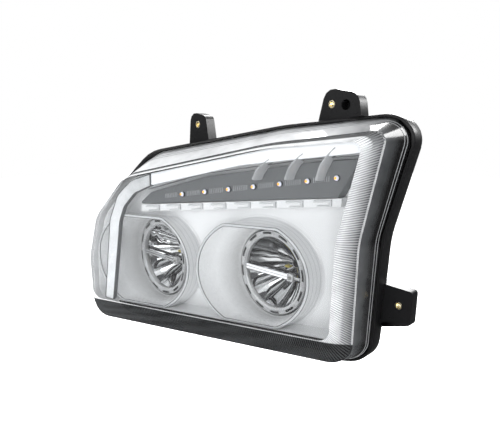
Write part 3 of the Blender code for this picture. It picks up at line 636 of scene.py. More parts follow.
def make_materials():
    """Every finish used on the lamp. surface() takes colour, roughness, variation, bump, noise scale."""
    mats = {
        "black": surface("black_moulding", (0.007, 0.007, 0.0075), 0.3, 0.3, 0.05, 500, shine=0.3),
        "rubber": surface("black_rubber", (0.012, 0.012, 0.012), 0.7, 0.2, 0.25, 700),
        "pale": surface("pale_satin", (0.80, 0.805, 0.81), 0.3, 0.015, 0.02, 300, coat=0.2),
        # The bowls are a brighter copy of the pale trim: painted light
        "bowl": surface("pale_bowl", (0.93, 0.935, 0.94), 0.28, 0.015, 0.015, 300, coat=0.3),
        "rim": surface("rim_satin", (0.62, 0.63, 0.64), 0.2, 0.03, 0.02, 300, coat=0.5),
        # The tail's edge line, and also the painted shadow strip under the daylight bar
        "outline": surface("grey_outline_and_painted_shadow", (0.14, 0.145, 0.15), 0.3, 0.2, 0.05, 500),
        # The skirt's beads are paler than the skirt: painted highlight
        "bead_painted_highlight": surface("skirt_bead", (0.2, 0.205, 0.21), 0.3, 0.2, 0.05, 500),
        "line": surface("dark_line", (0.05, 0.052, 0.055), 0.35, 0.2, 0.05, 500),
        "grey": surface("grey_panel", (0.135, 0.142, 0.148), 0.42, 0.04, 0.04, 600),
        "tick": surface("grey_tick", (0.36, 0.37, 0.38), 0.35, 0.05, 0.04, 600),
        "chrome": surface("bright_chrome", (0.93, 0.935, 0.94), 0.04, 0.02, 0.0, 120, metallic=1.0),
        # A darker copy of the bright chrome for the outboard upper reflector: painted dark reflection
        "smoked": surface("smoked_chrome", (0.42, 0.425, 0.43), 0.07, 0.05, 0.0, 120, metallic=1.0),
        "ring": surface("satin_ring", (0.74, 0.745, 0.75), 0.24, 0.04, 0.02, 200, metallic=0.6),
        "alloy": surface("cast_aluminium", (0.5, 0.51, 0.52), 0.45, 0.1, 0.35, 500, metallic=1.0),
        "steel": surface("plated_steel", (0.62, 0.62, 0.6), 0.28, 0.08, 0.1, 400, metallic=1.0),
        "brass": surface("machined_brass", (0.85, 0.76, 0.52), 0.28, 0.12, 0.15, 600, metallic=1.0),
        "board": surface("circuit_board", (0.02, 0.15, 0.07), 0.45, 0.3, 0.1, 900),
        "nylon": surface("grey_nylon", (0.12, 0.125, 0.13), 0.5, 0.12, 0.2, 600),
        # Real dark parts, and also the blade's blocks and strip of painted shade
        "dark": surface("dark_parts_and_painted_shade", (0.008, 0.008, 0.009), 0.4, 0.3, 0.1, 500),
        "amber": surface("amber_chip", (1.0, 0.42, 0.03), 0.3, 0.1, 0.05, 800),
        "phosphor": surface("phosphor", (0.95, 0.78, 0.2), 0.4, 0.08, 0.1, 900),
        "opal": surface("opal_guide", (0.93, 0.94, 0.96), 0.22, 0.01, 0.02, 300, coat=0.3),
        "bead": surface("diode_lens", (0.8, 0.8, 0.9), 0.12, 0.05, 0.02, 400, coat=0.6),
        "fin": surface("fin_satin", (0.5, 0.51, 0.52), 0.25, 0.06, 0.03, 300, coat=0.4),
        "face": clear_plastic("lens_face", 0.03, (0.9, 0.91, 0.92), gloss=0.8, bump=0.01),
        # Zone colours: darker grooves and paler crests are painted shade and highlight; the top pairs are
        # painted light from above, paler on the flutes with a dark rim, darker on the serrated edge
        "flutes": fluted_plastic("lens_flutes", ((0.31, 0.32, 0.33), (0.62, 0.63, 0.64)),
                                 outer=((0.05, 0.052, 0.055), (0.22, 0.225, 0.23)),
                                 inboard=((0.66, 0.67, 0.68), (0.93, 0.935, 0.94)),
                                 top=((0.66, 0.67, 0.68), (0.82, 0.83, 0.84)),
                                 rim_top=((0.004, 0.004, 0.004), (0.18, 0.185, 0.19)),
                                 bottom=((0.006, 0.006, 0.006), (0.045, 0.047, 0.049)), cover=0.93),
        "edge": fluted_plastic("lens_edge", ((0.12, 0.125, 0.13), (0.75, 0.76, 0.77)),
                               top=((0.004, 0.004, 0.004), (0.12, 0.125, 0.13)),
                               bottom=((0.006, 0.006, 0.006), (0.05, 0.052, 0.055)), cover=0.97),
        "skirt": skirt_plastic(),
        "frosted": fluted_plastic("frosted_guide", ((0.58, 0.59, 0.6), (0.88, 0.89, 0.9)),
                                  inboard=((0.58, 0.59, 0.6), (0.88, 0.89, 0.9)), cover=0.8),
    }
    glowing(mats["amber"], (1.0, 0.4, 0.02), 0.9)
    glowing(mats["opal"], (0.95, 0.97, 1.0), 0.12)
    # The pale bowls get a painted glow, and painted shade that deepens towards the lamp's ring
    with_painted_shade(glowing(mats["bowl"], (0.95, 0.97, 1.0), 0.03), 0.4, 0.82, 0.5)
    glowing(mats["bead"], (0.85, 0.85, 1.0), 0.25)
    return mats


# ---------------------------------------------------------------- lens

def fluted(ring, height, pitch):
    """Raises fine flutes along a ring on the swept plane, towards the front."""
    raised = []
    travelled = 0.0
    for i, (x, y, z) in enumerate(ring):
        if i:
            travelled += math.dist(ring[i - 1], ring[i])
        raised.append((x, y - height * math.sin(2 * math.pi * travelled / pitch), z))
    return raised


def make_lens(mats):
    """Clear face, fluted border, serrated corner band and smooth skirt."""
    clear, front, mouth = matched([CLEAR_OUTLINE, LENS_OUTLINE, FLANGE_OUTLINE], SAMPLE)
    crown_edge = LENS_FACE - 1.6
    make_lens_face(clear, crown_edge, mats)
    make_lens_border(clear, front, crown_edge, mats)
    make_lens_skirt(front, inset(mouth, 3), mats)


def make_lens_face(clear, crown_edge, mats):
    """Bulging clear face, closed in the middle."""
    rings = [swept(clear, crown_edge)]
    for factor in (0.94, 0.85, 0.72, 0.55, 0.38, 0.2, 0.06):
        bulge = LENS_CROWN * (1 - factor ** 2)
        rings.append(swept(scaled(clear, factor), crown_edge - bulge * 0.9))
    face = skin([ring[::6] for ring in rings], pitch=20.0)
    middle = [e for e in face.edges if e.is_boundary and e.calc_length() < SAMPLE]
    bmesh.ops.holes_fill(face, edges=middle, sides=0)
    finish_mesh("lens_face", face, mats["face"], replaces=("outer_lens",), slot="clear_lens")


def make_lens_border(clear, front, crown_edge, mats):
    """Fluted border round the clear face and the finer serrated band round its outer edge."""
    border = []
    steps = 8
    shoulder = inset(front, 1.0)
    for k in range(steps + 1):
        t = k / steps
        depth = crown_edge + (LENS_SHOULDER - crown_edge) * t ** 1.7
        border.append(fluted(swept(mixed(clear, shoulder, t), depth), FLUTE_HEIGHT, FLUTE_PITCH))
    finish_mesh("lens_flutes", skin(border, pitch=FLUTE_PITCH), mats["flutes"], smooth_deg=80,
                slot="clear_lens")
    corner = []
    steps = 5
    for k in range(steps + 1):
        angle = math.pi / 2 * k / steps
        reach = 1.0 - 1.3 * math.sin(angle)
        depth = LENS_SHOULDER + 1.8 * (1 - math.cos(angle))
        corner.append(fluted(swept(inset(front, reach), depth), 0.3, FLUTE_PITCH / 2))
    finish_mesh("lens_corner", skin(corner, pitch=FLUTE_PITCH / 2), mats["edge"],
                smooth_deg=80, slot="clear_lens")


def make_lens_skirt(front, foot, mats):
    """Smooth side of the lens with two raised beads near the flange, painted paler than the skirt as a
    highlight.
    """
    def ring(t, lift=0.0):
        """The skirt's outline part of the way from its front edge to its foot."""
        loop = mixed(front, foot, t)
        if lift:
            loop = inset(loop, -lift)
        return swept(loop, LENS_EDGE + (LENS_FOOT - LENS_EDGE) * t)[::4]

    skirt = [ring(t) for t in (0.0, 0.3, 0.5, 0.7, 0.85, 1.0)]
    finish_mesh("lens_skirt", skin(skirt, pitch=20.0), mats["skirt"], slot="clear_lens")
    for index, t in enumerate((0.60, 0.70)):
        bead = [ring(t + step, lift) for step, lift in ((0.0, 0.05), (0.005, 0.5), (0.012, 0.5),
                                                        (0.017, 0.05))]
        finish_mesh(f"lens_skirt_bead_{index + 1}", skin(bead, pitch=20.0), mats["bead_painted_highlight"],
                    slot="clear_lens")


def make_flange(mats):
    """Rounded lip over the housing's sealing flange."""
    mouth = dense(rounded(FLANGE_OUTLINE), 4.0)
    rings = []
    for k in range(7):
        angle = math.pi / 2 * k / 6
        rings.append(swept(inset(mouth, 2.6 - 2.9 * math.sin(angle)), 35.6 + 2.6 * (1 - math.cos(angle))))
    rings.append(swept(inset(mouth, -0.3), 44))
    rings.append(swept(inset(mouth, -0.3), 54.5))
    rings.append(swept(inset(mouth, 0.4), 56.0))
    rings.append(swept(inset(mouth, 2.4), 56.6))
    finish_mesh("flange_lip", skin([swept(inset(mouth, 2.6), 44)] + rings), mats["black"],
                slot="black_moulding")


# ---------------------------------------------------------------- trim behind the lens

def trim_piece(name, bm, mat, **how):
    """A piece of the pale trim."""
    return finish_mesh(name, bm, mat, slot="pale_trim", **how)


def rim_centre(side):
    """Middle of a shroud rim."""
    return LAMP_X[side] - (10 if side == "outboard" else 2)


def base_loop(side):
    """Foot of a shroud on the trim's floor."""
    top = 80 if side == "outboard" else 68
    return rim(rim_centre(side) + 3, 79, top, 68)


def make_bezel(mats):
    """Pale tray: floor, sloping wall and a rolled edge."""
    edge, floor = matched([BEZEL_OUTLINE, BEZEL_FLOOR], 6.0)
    window = dense(inset(rounded(PANEL_OUTLINE, 6), -0.4), 8.0)
    holes = [window] + [inset(base_loop(side), 1.0) for side in LAMP_X]
    sheet = sheet_with_holes(floor, holes, FLOOR_DEPTH)
    trim_piece("bezel_floor", sheet, mats["pale"], replaces=("inner_bezel",))
    rings = [swept(floor, FLOOR_DEPTH), swept(mixed(floor, edge, 0.1), 23.2),
             swept(mixed(floor, edge, 0.55), 10), swept(inset(edge, 2.0), 1.2),
             swept(inset(edge, 1.5), 0.2), swept(inset(edge, 0.6), 0), swept(edge, 0.6),
             swept(edge, 3)]
    trim_piece("bezel_wall", skin(rings), mats["pale"])


def rim_loop(side, grow=0.0):
    """A shroud's front edge, grown outwards."""
    return rim(rim_centre(side), RIM_R + grow, RIM_FLAT + grow, RIM_FLAT + grow)


def band(loop_a, loop_b, depth_a, depth_b, bulge=0.0, steps=4):
    """A strip between two outlines, bulging forward."""
    rings = []
    for k in range(steps + 1):
        t = k / steps
        depth = depth_a + (depth_b - depth_a) * t - bulge * math.sin(math.pi * t)
        rings.append(swept(mixed(loop_a, loop_b, t), depth))
    return skin(rings)


def make_shroud(side, mats):
    """Barrel with a rolled rim between two dark lines, and the bowl inside it."""
    base = base_loop(side)
    outer = rim_loop(side, RIM_WIDTH)
    trim_piece(f"shroud_rim_{side}", band(rim_loop(side), outer, 0.2, 0.2, bulge=1.2, steps=6), mats["rim"])
    trim_piece(f"rim_line_inner_{side}", band(rim_loop(side, -0.5), rim_loop(side, 0.35), 0.3, 0.1, 0.3),
               mats["line"])
    trim_piece(f"rim_line_outer_{side}",
               band(rim_loop(side, RIM_WIDTH - 0.3), rim_loop(side, RIM_WIDTH + 0.3), 0.1, 0.5, 0.2),
               mats["line"])
    length = FLOOR_DEPTH - 0.4
    barrel = [swept(mixed(outer, base, t), length * t) for t in (0.01, 0.3, 0.6, 0.85, 0.95)]
    barrel.append(swept(inset(base, -2.5), FLOOR_DEPTH - 0.1))
    trim_piece(f"shroud_barrel_{side}", skin(barrel), mats["pale"])
    half = 0.012
    for index, t in enumerate((0.28, 0.55, 0.8)):
        near = inset(mixed(outer, base, t - half), -0.25)
        far = inset(mixed(outer, base, t + half), -0.25)
        trim_piece(f"barrel_line_{index + 1}_{side}",
                   band(near, far, length * (t - half), length * (t + half), 0.15), mats["rim"])
    make_bowl(side, mats)


def make_bowl(side, mats):
    """Pale bowl from the shroud's rim back to the lamp's ring."""
    x, y = LAMP_X[side], LAMP_Y[side]
    steps = 12
    front = swept(rim_loop(side), 0)
    back = upright(rim(x, 62.8, 70, 70), y - 5)
    bowl = []
    for k in range(steps + 1):
        t = k / steps
        bow = math.sin(math.pi * t) * 0.035
        ring = []
        for a, b in zip(front, back):
            point = [a[i] + (b[i] - a[i]) * t for i in range(3)]
            point[0] += (point[0] - x) * bow
            point[2] += point[2] * bow
            ring.append(tuple(point))
        bowl.append(ring)
    bowl.append(upright(rim(x, 61.5, 70, 70), y - 4.2))
    bowl.append(upright(rim(x, 61.0, 70, 70), y + 6))
    trim_piece(f"shroud_bowl_{side}", skin(bowl), mats["bowl"])


def led_place(index):
    """x and z of one signal diode."""
    x = LED_FIRST[0] + LED_PITCH * index
    return x, LED_FIRST[1] + LED_RISE * (x - LED_FIRST[0])


def make_panel(mats):
    """Dark panel with holes for the diodes and fine ticks between them."""
    edge = dense(rounded(PANEL_OUTLINE, 6), 8.0)
    holes = [round_loop(*led_place(i), 3.9, 28) for i in range(LED_COUNT)]
    front = sheet_with_holes(inset(edge, 0.6), holes, PANEL_DEPTH)
    finish_mesh("panel_face", front, mats["grey"], replaces=("signal_panel",), slot="grey_panel")
    side = skin([swept(inset(edge, 0.6), PANEL_DEPTH), swept(inset(edge, 0.2), PANEL_DEPTH + 0.3),
                 swept(edge, PANEL_DEPTH + 1), swept(edge, PANEL_DEPTH + 17)])
    finish_mesh("panel_side", side, mats["grey"], slot="grey_panel")
    ticks = bmesh.new()
    for index in range(-1, LED_COUNT - 1):
        for k in range(TICKS_PER_LED):
            x, z = led_place(index + 0.22 + 0.075 * k)
            if x >= FIRST_TICK_X:
                add_tick(ticks, x, z)
    finish_mesh("panel_ticks", ticks, mats["tick"], slot="grey_panel")


def add_tick(bm, x, z, half_width=0.45, half_height=3.4, height=0.8):
    """One raised tick on the signal panel."""
    front = rectangle(x - half_width * 0.5, x + half_width * 0.5, z - half_height + 0.4,
                      z + half_height - 0.4)
    back = rectangle(x - half_width, x + half_width, z - half_height, z + half_height)
    a = [bm.verts.new(p) for p in swept(front, PANEL_DEPTH - height)]
    b = [bm.verts.new(p) for p in swept(back, PANEL_DEPTH + 0.05)]
    bm.faces.new(a)
    for i in range(4):
        j = (i + 1) % 4
        bm.faces.new((a[i], b[i], b[j], a[j]))


def make_leds(mats):
    """Each signal diode: a clear bead over an amber core, in a dark collar."""
    for index in range(LED_COUNT):
        x, z = led_place(index)
        y = face_y(x)
        bead = turned([(0.25, y + 6.6), (1.4, y + 6.8), (2.6, y + 7.6), (3.3, y + 8.8), (3.5, y + 10.5),
                       (3.2, y + 20)], (x, z), count=28)
        finish_mesh(f"led_bead_{index + 1}", bead, mats["bead"],
                    replaces=(f"signal_led_{index + 1}",), slot="diode_amber")
        core = turned([(0.8, y + 6.1), (1.4, y + 6.3), (1.7, y + 6.9), (1.7, y + 16)], (x, z), count=20)
        finish_mesh(f"led_core_{index + 1}", core, mats["amber"], slot="diode_amber")
        collar = turned([(3.5, y + 9.4), (3.6, y + 9.1), (4.2, y + 9.2), (4.4, y + 12), (3.4, y + 12)],
                        (x, z), count=32, closed_profile=True)
        finish_mesh(f"led_collar_{index + 1}", collar, mats["dark"], slot="diode_amber")


def make_shelf(mats):
    """Ledge under the panel with raised brackets."""
    slope = 27.5 / 281.0
    lower = 73.5
    upper = 84.0
    pitch = 34.2

    def bar(x0, x1, low, high, front, back):
        """A block that follows the ledge's rise and sweep."""
        corners = rectangle(x0, x1, low, high)
        rings = []
        for depth, ease in ((front, 0.5), (front + 0.5, 0), (back, 0)):
            rings.append([(x, face_y(x) + depth, (z - (ease if z > low else -ease)) + slope * (x + 187))
                          for x, z in corners])
        return solid(rings)

    trim_piece("shelf_ledge", bar(-182, 99, lower, upper, 9.0, 24.6), mats["pale"],
               replaces=("shelf_trim",))
    for k in range(BRACKETS):
        x = -172 + pitch * k
        for word, inboard, low, high, front in (("", 0, upper - 4.0, upper - 1.5, 6.2),
                                                ("end_", 18.6, lower + 2.5, upper - 4.0, 6.2),
                                                ("foot_", 4, lower + 1.0, lower + 2.6, 6.6)):
            trim_piece(f"shelf_bracket_{word}{k + 1}", bar(x + inboard, x + 21, low, high, front, 9.2),
                       mats["rim"])


def make_daylight(mats):
    """Opal bar across the top and the fluted tail that turns down inboard."""
    bar = dense(rounded(BAR_OUTLINE, 6), 5.0)
    rings = [swept(inset(bar, 3), -6.4), swept(inset(bar, 1.2), -6.1), swept(inset(bar, 0.3), -5.2),
             swept(bar, -4.0), swept(bar, -0.6)]
    finish_mesh("daylight_bar_body", solid(rings), mats["opal"], replaces=("daylight_bar",),
                slot="light_guide_white")
    tail = dense(rounded(TAIL_OUTLINE, 8), 0.5)
    rings = [swept(inset(tail, 1.6), -6.0), swept(inset(tail, 0.5), -5.6), swept(tail, -4.4),
             swept(tail, -0.6)]
    tail_mesh = solid(rings, pitch=1.6)
    finish_mesh("daylight_tail_body", tail_mesh, mats["frosted"], replaces=("daylight_tail",),
                slot="light_guide_clear")
    edge = dense(rounded(TAIL_OUTLINE, 8), 4.0)
    rings = [swept(inset(edge, 0.7), -6.1), swept(inset(edge, 0.3), -6.6), swept(inset(edge, -0.1), -6.1),
             swept(inset(edge, -0.1), -0.6)]
    finish_mesh("daylight_tail_rim", skin(rings), mats["outline"], slot="light_guide_clear")
    # Dark strip along the bar's lower edge: the bar's painted shadow on the trim
    top = [(-163, 108.5), (-81, 133.5), (60, 157.5), (120, 163.5)]
    rings = [[(x, face_y(x) + depth, z + lift) for x, z in top]
             for depth, lift in ((3.0, 0.9), (2.6, 0.0), (8.0, -0.2))]
    painted_bar_shadow = skin(rings, closed=False)
    trim_piece("panel_top_painted_shadow", painted_bar_shadow, mats["outline"])


def fin_loop(index, grow=0.0, steps=18):
    """A slim crescent that leans outboard at its top."""
    x = FIN_X[index]
    height = FIN_TOP[index] - FIN_BOTTOM[index] + 2 * grow
    left = []
    right = []
    for k in range(steps + 1):
        t = k / steps
        bow = math.sin(math.pi * t)
        lean = FIN_LEAN * t * t
        z = FIN_BOTTOM[index] - grow + height * t
        left.append((x + lean - 1.2 * bow - 0.4 - grow, z))
        right.append((x + lean + 2.2 * bow + 0.4 + grow, z))
    return left + list(reversed(right))


def make_fins(mats):
    """Curved fins with rounded backs."""
    for index in range(len(FIN_X)):
        rings = [swept(fin_loop(index, -1.6), -7.6), swept(fin_loop(index, -0.7), -7.0),
                 swept(fin_loop(index), -5.2), swept(fin_loop(index), 9.6)]
        trim_piece(f"fin_{index + 1}", solid(rings), mats["fin"], replaces=(f"gill_fin_{index + 1}",))


# ---------------------------------------------------------------- lamp modules

def module_piece(name, side, bm, mat, **how):
    """A piece that tilts with one lamp."""
    how.setdefault("slot", "chrome_bright")
    return finish_mesh(f"{name}_{side}", bm, mat, body="beam_module_" + side, **how)


def make_ring(side, mats):
    """Bright front ring with a row of dark slots."""
    x, y = LAMP_X[side], LAMP_Y[side]
    profile = [(50.2, y + 2), (50.0, y - 3.4), (50.6, y - 4.4), (52.4, y - 5.6), (54.0, y - 5.9),
               (57.4, y - 5.9), (58.6, y - 5.2), (59.0, y - 3.8), (59.0, y + 22.7), (56.2, y + 22.7),
               (56.2, y + 2)]
    module_piece("ring", side, turned(profile, (x, 0), count=120, closed_profile=True), mats["ring"],
                 replaces=("module_ring_" + side,))
    slots = bmesh.new()
    near = 54.2
    far = 57.4
    half = 8
    steps = 6
    for k in range(RING_SLOTS):
        middle = math.radians(360 / RING_SLOTS * k + half)
        for step in range(steps):
            a0 = middle + math.radians(-half + 2 * half * step / steps)
            a1 = middle + math.radians(-half + 2 * half * (step + 1) / steps)
            row = [slots.verts.new((x + r * math.cos(a), y - 6.0, r * math.sin(a)))
                   for r, a in ((near, a0), (near, a1), (far, a1), (far, a0))]
            slots.faces.new(row)
    bmesh.ops.remove_doubles(slots, verts=slots.verts, dist=0.001)
    module_piece("ring_slots", side, slots, mats["dark"])


def bowl_place(side, word, i, k, lift=0.0):
    """A reflector's point: i along its arc, k rows inwards, raised off the surface by lift."""
    petals, ripples, petal_depth = PETALS[side, word]
    sign = 1 if word == "upper" else -1
    share = 1 - 0.9 * k / BOWL_STEPS
    back = LAMP_Y[side] + 3 + BOWL_DEPTH * (1 - share ** 2)
    dish = abs(math.sin(math.pi * i / PETAL_STEPS))
    ripple = 1.6 * abs(math.sin(math.pi * ripples * k / BOWL_STEPS)) if ripples else 0.0
    radius = OPENING_R * share + petal_depth * dish * share - lift
    angle = math.pi * i / (petals * PETAL_STEPS)
    return (LAMP_X[side] + radius * math.cos(angle), back + (petal_depth + ripple) * dish * share - lift,
            sign * (radius * math.sin(angle) + 2.6))


def make_reflector(side, word, mats):
    """Half bowl of hollow petals with dark joints, and a plain back."""
    petals = PETALS[side, word][0]
    rows = [[bowl_place(side, word, i, k) for i in range(petals * PETAL_STEPS + 1)]
            for k in range(BOWL_STEPS + 1)]
    # The outboard upper reflector gets the darker chrome copy: painted dark reflection
    dark = word == "upper" and side == "outboard"
    module_piece(word + "_bowl", side, skin(rows, closed=False), mats["smoked" if dark else "chrome"],
                 smooth_deg=25, replaces=(f"{word}_reflector_{side}",))
    joints = bmesh.new()
    for petal in range(1, petals):
        add_petal_joint(joints, side, word, petal)
    module_piece(word + "_bowl_joints", side, joints, mats["dark"])
    module_piece(word + "_bowl_back", side, skin(bowl_back(side, word), closed=False), mats["nylon"])


def add_petal_joint(bm, side, word, petal):
    """Dark strip along the joint between two petals, thicker on one lower joint."""
    sign = 1 if word == "upper" else -1
    angle = math.pi * petal / PETALS[side, word][0]
    previous = None
    for k in range(BOWL_STEPS + 1):
        middle = bowl_place(side, word, petal * PETAL_STEPS, k, 0.25)
        thick = 1.7 if petal == 2 and word == "lower" and 4 < k < 12 else 0.3
        wide = 0.14 + thick * math.sin(math.pi * k / BOWL_STEPS)
        pair = [bm.verts.new((middle[0] - wide * math.sin(angle) * w, middle[1],
                              middle[2] + sign * wide * math.cos(angle) * w)) for w in (-1, 1)]
        if previous:
            bm.faces.new((previous[0], previous[1], pair[1], pair[0]))
        previous = pair


def bowl_back(side, word):
    """Rows of a reflector's plain outer shell."""
    sign = 1 if word == "upper" else -1
    rows = 8
    facets = 40
    shell = []
    for k in range(rows + 1):
        share = 1 - 0.88 * k / rows
        radius = OPENING_R * share + 2.9
        y = LAMP_Y[side] + 4.6 + BOWL_DEPTH * (1 - share ** 2) + 1.6
        shell.append([(LAMP_X[side] + radius * math.cos(math.pi * i / facets), y,
                       sign * (radius * math.sin(math.pi * i / facets) + 2.5)) for i in range(facets + 1)])
    return shell


def block(x0, x1, y0, y1, z0, z1):
    """A block with its corners in order."""
    outline = rectangle(x0, x1, z0, z1)
    return solid([upright(outline, y0), upright(outline, y1)])


def make_blade(side, mats):
    """Bright bar across the opening, its clamp and the diode packages."""
    x, y = LAMP_X[side], LAMP_Y[side]
    bar = module_piece("blade_bar", side, block(x - 48.5, x + 48.5, y - 3, y + 34, -2.0, 2.0),
                       mats["chrome"], replaces=("led_blade_" + side,))
    bevelled(bar, 0.7)
    tail = module_piece("blade_tail", side, block(x - 16, x + 16, y + 33, y + 56, -1.8, 1.8),
                        mats["chrome"])
    bevelled(tail, 0.4)
    for name, z in (("top", 1.9), ("bottom", -1.9)):
        rod = []
        for end in (x - 49, x - 48.4, x + 29.4, x + 30):
            r = 1.5 if end in (x - 49, x + 30) else 1.9
            rod.append([(end, y - 3.1 + r * math.cos(math.pi * k / 8), z + r * math.sin(math.pi * k / 8))
                        for k in range(16)])
        # On the outboard lamp the rods take the glowing pale opal instead of chrome: painted reflection and
        # glow
        bright = mats["opal" if side == "outboard" else "chrome"]
        module_piece("blade_rod_" + name, side, solid(rod), bright)
    # Dark strip in the crease between the rods: painted shade
    groove = block(x - 48, x + 29, y - 3.9, y - 3.2, -0.45, 0.45)
    module_piece("blade_groove_painted_shade", side, groove, mats["dark"])
    # Dark blocks above and below the bar: painted shade
    for name, z0, z1 in (("top", 3.9, 7.4), ("bottom", -6.0, -3.9)):
        shade = block(x - 46, x + 46, y + 0.6, y + 2.4, z0, z1)
        module_piece("blade_shade_" + name, side, shade, mats["dark"])
    clamp = module_piece("blade_clamp", side, block(x + 28, x + 38, y - 5.4, y + 2.4, -5.6, 5.6),
                         mats["ring"])
    bevelled(clamp, 0.9)
    boss = turned([(1.0, y - 6.8), (2.6, y - 6.6), (2.9, y - 6.0), (2.9, y - 4.8)], (x + 33, 0), count=28)
    module_piece("blade_screw", side, boss, mats["steel"], slot="plated_steel")
    for word, z0, z1 in (("upper", 2.05, 3.3), ("lower", -3.3, -2.05)):
        chip = module_piece(word + "_chip", side, block(x - 4, x + 4, y + 28, y + 36, z0, z1),
                            mats["phosphor"], replaces=(f"{word}_emitter_{side}",),
                            slot="phosphor_yellow")
        bevelled(chip, 0.3)


# ---------------------------------------------------------------- pieces kept from the CAD

# Pieces by finish, with the width of their softened edges; a name ending in _ stands for both lamps
KEPT = (
    ("black", 0.0, ("housing", "rear_cap_")),
    ("black", 0.4, ("connector_socket",)),
    ("rubber", 0.0, ("lens_seal", "cap_seal_", "driver_gasket", "cable_")),
    ("rubber", 0.4, ("vent_cap_1", "vent_cap_2")),
    ("brass", 0.35, ("insert_top_inboard", "insert_top_outboard", "insert_side")),
    ("brass", 0.2, ("connector_blades",)),
    ("board", 0.2, ("signal_board",)),
    ("alloy", 0.3, ("heat_sink_",)),
    ("alloy", 0.4, ("driver_module",)),
    ("nylon", 0.0, ("carrier_", "yoke_")),
    ("nylon", 0.4, ("aiming_knob_",)),
    ("steel", 0.0, ("aiming_rod_",)),
    ("steel", 0.2, ("driver_screw_1", "driver_screw_2", "driver_screw_3", "driver_screw_4")),
)


def dress_kept(mats):
    """Finishes and softened edges for the CAD pieces shown as they are."""
    for finish_name, edge, names in KEPT:
        for name in names:
            full_names = [name + side for side in LAMP_X] if name.endswith("_") else [name]
            for full_name in full_names:
                dress(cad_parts[full_name], mats[finish_name], edge)


def dress(obj, mat, edge):
    """Gives a CAD piece its finish, with softened or else crisp edges."""
    obj.data.materials.clear()
    obj.data.materials.append(mat)
    obj.data.shade_smooth()
    weld = obj.modifiers.new("weld", "WELD")
    weld.merge_threshold = 0.02 * MM
    if edge:
        bevelled(obj, edge, 2, 50)
        even = obj.modifiers.new("even_shading", "WEIGHTED_NORMAL")
        even.weight = 80
    else:
        split = obj.modifiers.new("sharp_edges", "EDGE_SPLIT")
        split.split_angle = math.radians(35)


# ---------------------------------------------------------------- studio

def make_studio():
    """White surround, soft lights, pale floor and the camera."""
    make_world()
    for light in LIGHTS:
        add_light(*light)
    add_floor()
    add_camera()
    bpy.context.scene.view_settings.view_transform = "Standard"


def mirrored_sky(tree):
    """The surround as mirrors see it: bright and dark bands by height."""
    height = part_of(tree, output_of(tree, "ShaderNodeTexCoord", "Generated"), "Z")
    ramp = tree.nodes.new("ShaderNodeValToRGB")
    tree.links.new(ranged(tree, height, -1, 1), ramp.inputs[0])
    while len(ramp.color_ramp.elements) < len(MIRRORED_SKY):
        ramp.color_ramp.elements.new(0.5)
    for element, (place, value) in zip(ramp.color_ramp.elements, MIRRORED_SKY):
        element.position = place
        element.color = (value, value, value, 1)
    mirrored = node(tree, "ShaderNodeBackground", Strength=1.0)
    tree.links.new(ramp.outputs[0], mirrored.inputs["Color"])
    return mirrored.outputs[0]


def make_world():
    """Plain white behind the lamp, soft light from all round, and bands for mirrors."""
    world = bpy.data.worlds.new("studio")
    bpy.context.scene.world = world
    world.use_nodes = True
    tree = world.node_tree
    tree.nodes.clear()
    out = node(tree, "ShaderNodeOutputWorld")
    path = tree.nodes.new("ShaderNodeLightPath")
    soft = node(tree, "ShaderNodeBackground", Color=(0.97, 0.98, 1.0, 1), Strength=0.62)
    plain = node(tree, "ShaderNodeBackground", Color=(1, 1, 1, 1), Strength=1.0)
    inner = mixed_shaders(tree, path.outputs["Is Glossy Ray"], soft.outputs[0], mirrored_sky(tree))
    outer = mixed_shaders(tree, path.outputs["Is Camera Ray"], inner, plain.outputs[0])
    tree.links.new(outer, out.inputs[0])


def add_light(name, place, size, power, in_mirrors):
    """A square soft light aimed at the lamp, placed in layout metres."""
    data = bpy.data.lights.new(name, "AREA")
    data.size = size
    data.energy = power
    obj = bpy.data.objects.new(name, data)
    bpy.context.scene.collection.objects.link(obj)
    obj.location = Vector(place) - ORIGIN
    obj.rotation_euler = (LIGHT_AIM - Vector(place)).to_track_quat("-Z", "Y").to_euler()
    obj.visible_glossy = in_mirrors


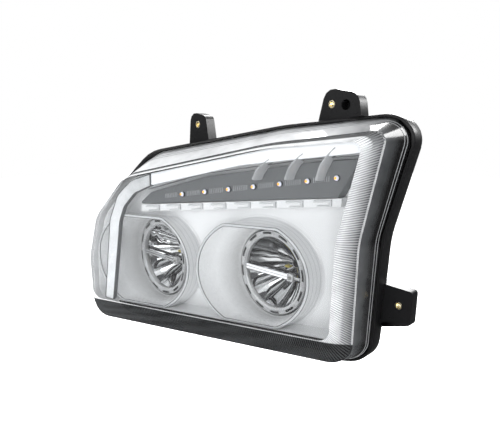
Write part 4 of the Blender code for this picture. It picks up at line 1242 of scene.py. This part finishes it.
def floor_material():
    """Pale floor that lights up like the backdrop, but reads dark in mirrors so that edges stay crisp."""
    mat, tree = new_material("pale_floor")
    out = node(tree, "ShaderNodeOutputMaterial")
    colour = shaded(tree, grain(tree, 20), (0.95, 0.95, 0.95), (0.99, 0.99, 0.99))
    matt = node(tree, "ShaderNodeBsdfDiffuse")
    glow = node(tree, "ShaderNodeEmission", Strength=0.9)
    tree.links.new(colour, matt.inputs["Color"])
    tree.links.new(colour, glow.inputs["Color"])
    both = node(tree, "ShaderNodeAddShader")
    feed(tree, both.inputs, (matt.outputs[0], glow.outputs[0]))
    dim = node(tree, "ShaderNodeEmission", Strength=0.08)
    in_mirrors = output_of(tree, "ShaderNodeLightPath", "Is Glossy Ray")
    pick = mixed_shaders(tree, in_mirrors, both.outputs[0], dim.outputs[0])
    tree.links.new(pick, out.inputs["Surface"])
    return mat


def add_floor():
    """Pale floor well under the lamp."""
    bm = bmesh.new()
    bmesh.ops.create_grid(bm, x_segments=8, y_segments=8, size=FLOOR_HALF)
    mesh = bpy.data.meshes.new("floor")
    bm.to_mesh(mesh)
    bm.free()
    floor = bpy.data.objects.new("floor", mesh)
    bpy.context.scene.collection.objects.link(floor)
    floor.location = (-ORIGIN.x, -ORIGIN.y, cad_bounds[0].z - FLOOR_DROP)
    mesh.materials.append(floor_material())


def add_camera():
    """Camera at the outboard front corner, looking slightly down."""
    data = bpy.data.cameras.new("camera")
    data.lens = CAMERA_LENS
    data.sensor_width = SENSOR_WIDTH
    obj = bpy.data.objects.new("camera", data)
    bpy.context.scene.collection.objects.link(obj)
    obj.location = CAMERA_PLACE - ORIGIN
    ahead = Vector((-math.sin(CAMERA_AZIMUTH) * math.cos(CAMERA_PITCH),
                    math.cos(CAMERA_AZIMUTH) * math.cos(CAMERA_PITCH),
                    -math.sin(CAMERA_PITCH)))
    obj.rotation_euler = ahead.to_track_quat("-Z", "Y").to_euler()
    bpy.context.scene.camera = obj


# ---------------------------------------------------------------- everything together

def build():
    """Makes every visible piece."""
    mats = make_materials()
    make_lens(mats)
    make_flange(mats)
    make_bezel(mats)
    make_panel(mats)
    make_leds(mats)
    make_shelf(mats)
    make_daylight(mats)
    make_fins(mats)
    for side in LAMP_X:
        make_shroud(side, mats)
        make_ring(side, mats)
        make_reflector(side, "upper", mats)
        make_reflector(side, "lower", mats)
        make_blade(side, mats)
    dress_kept(mats)
    make_studio()


build()
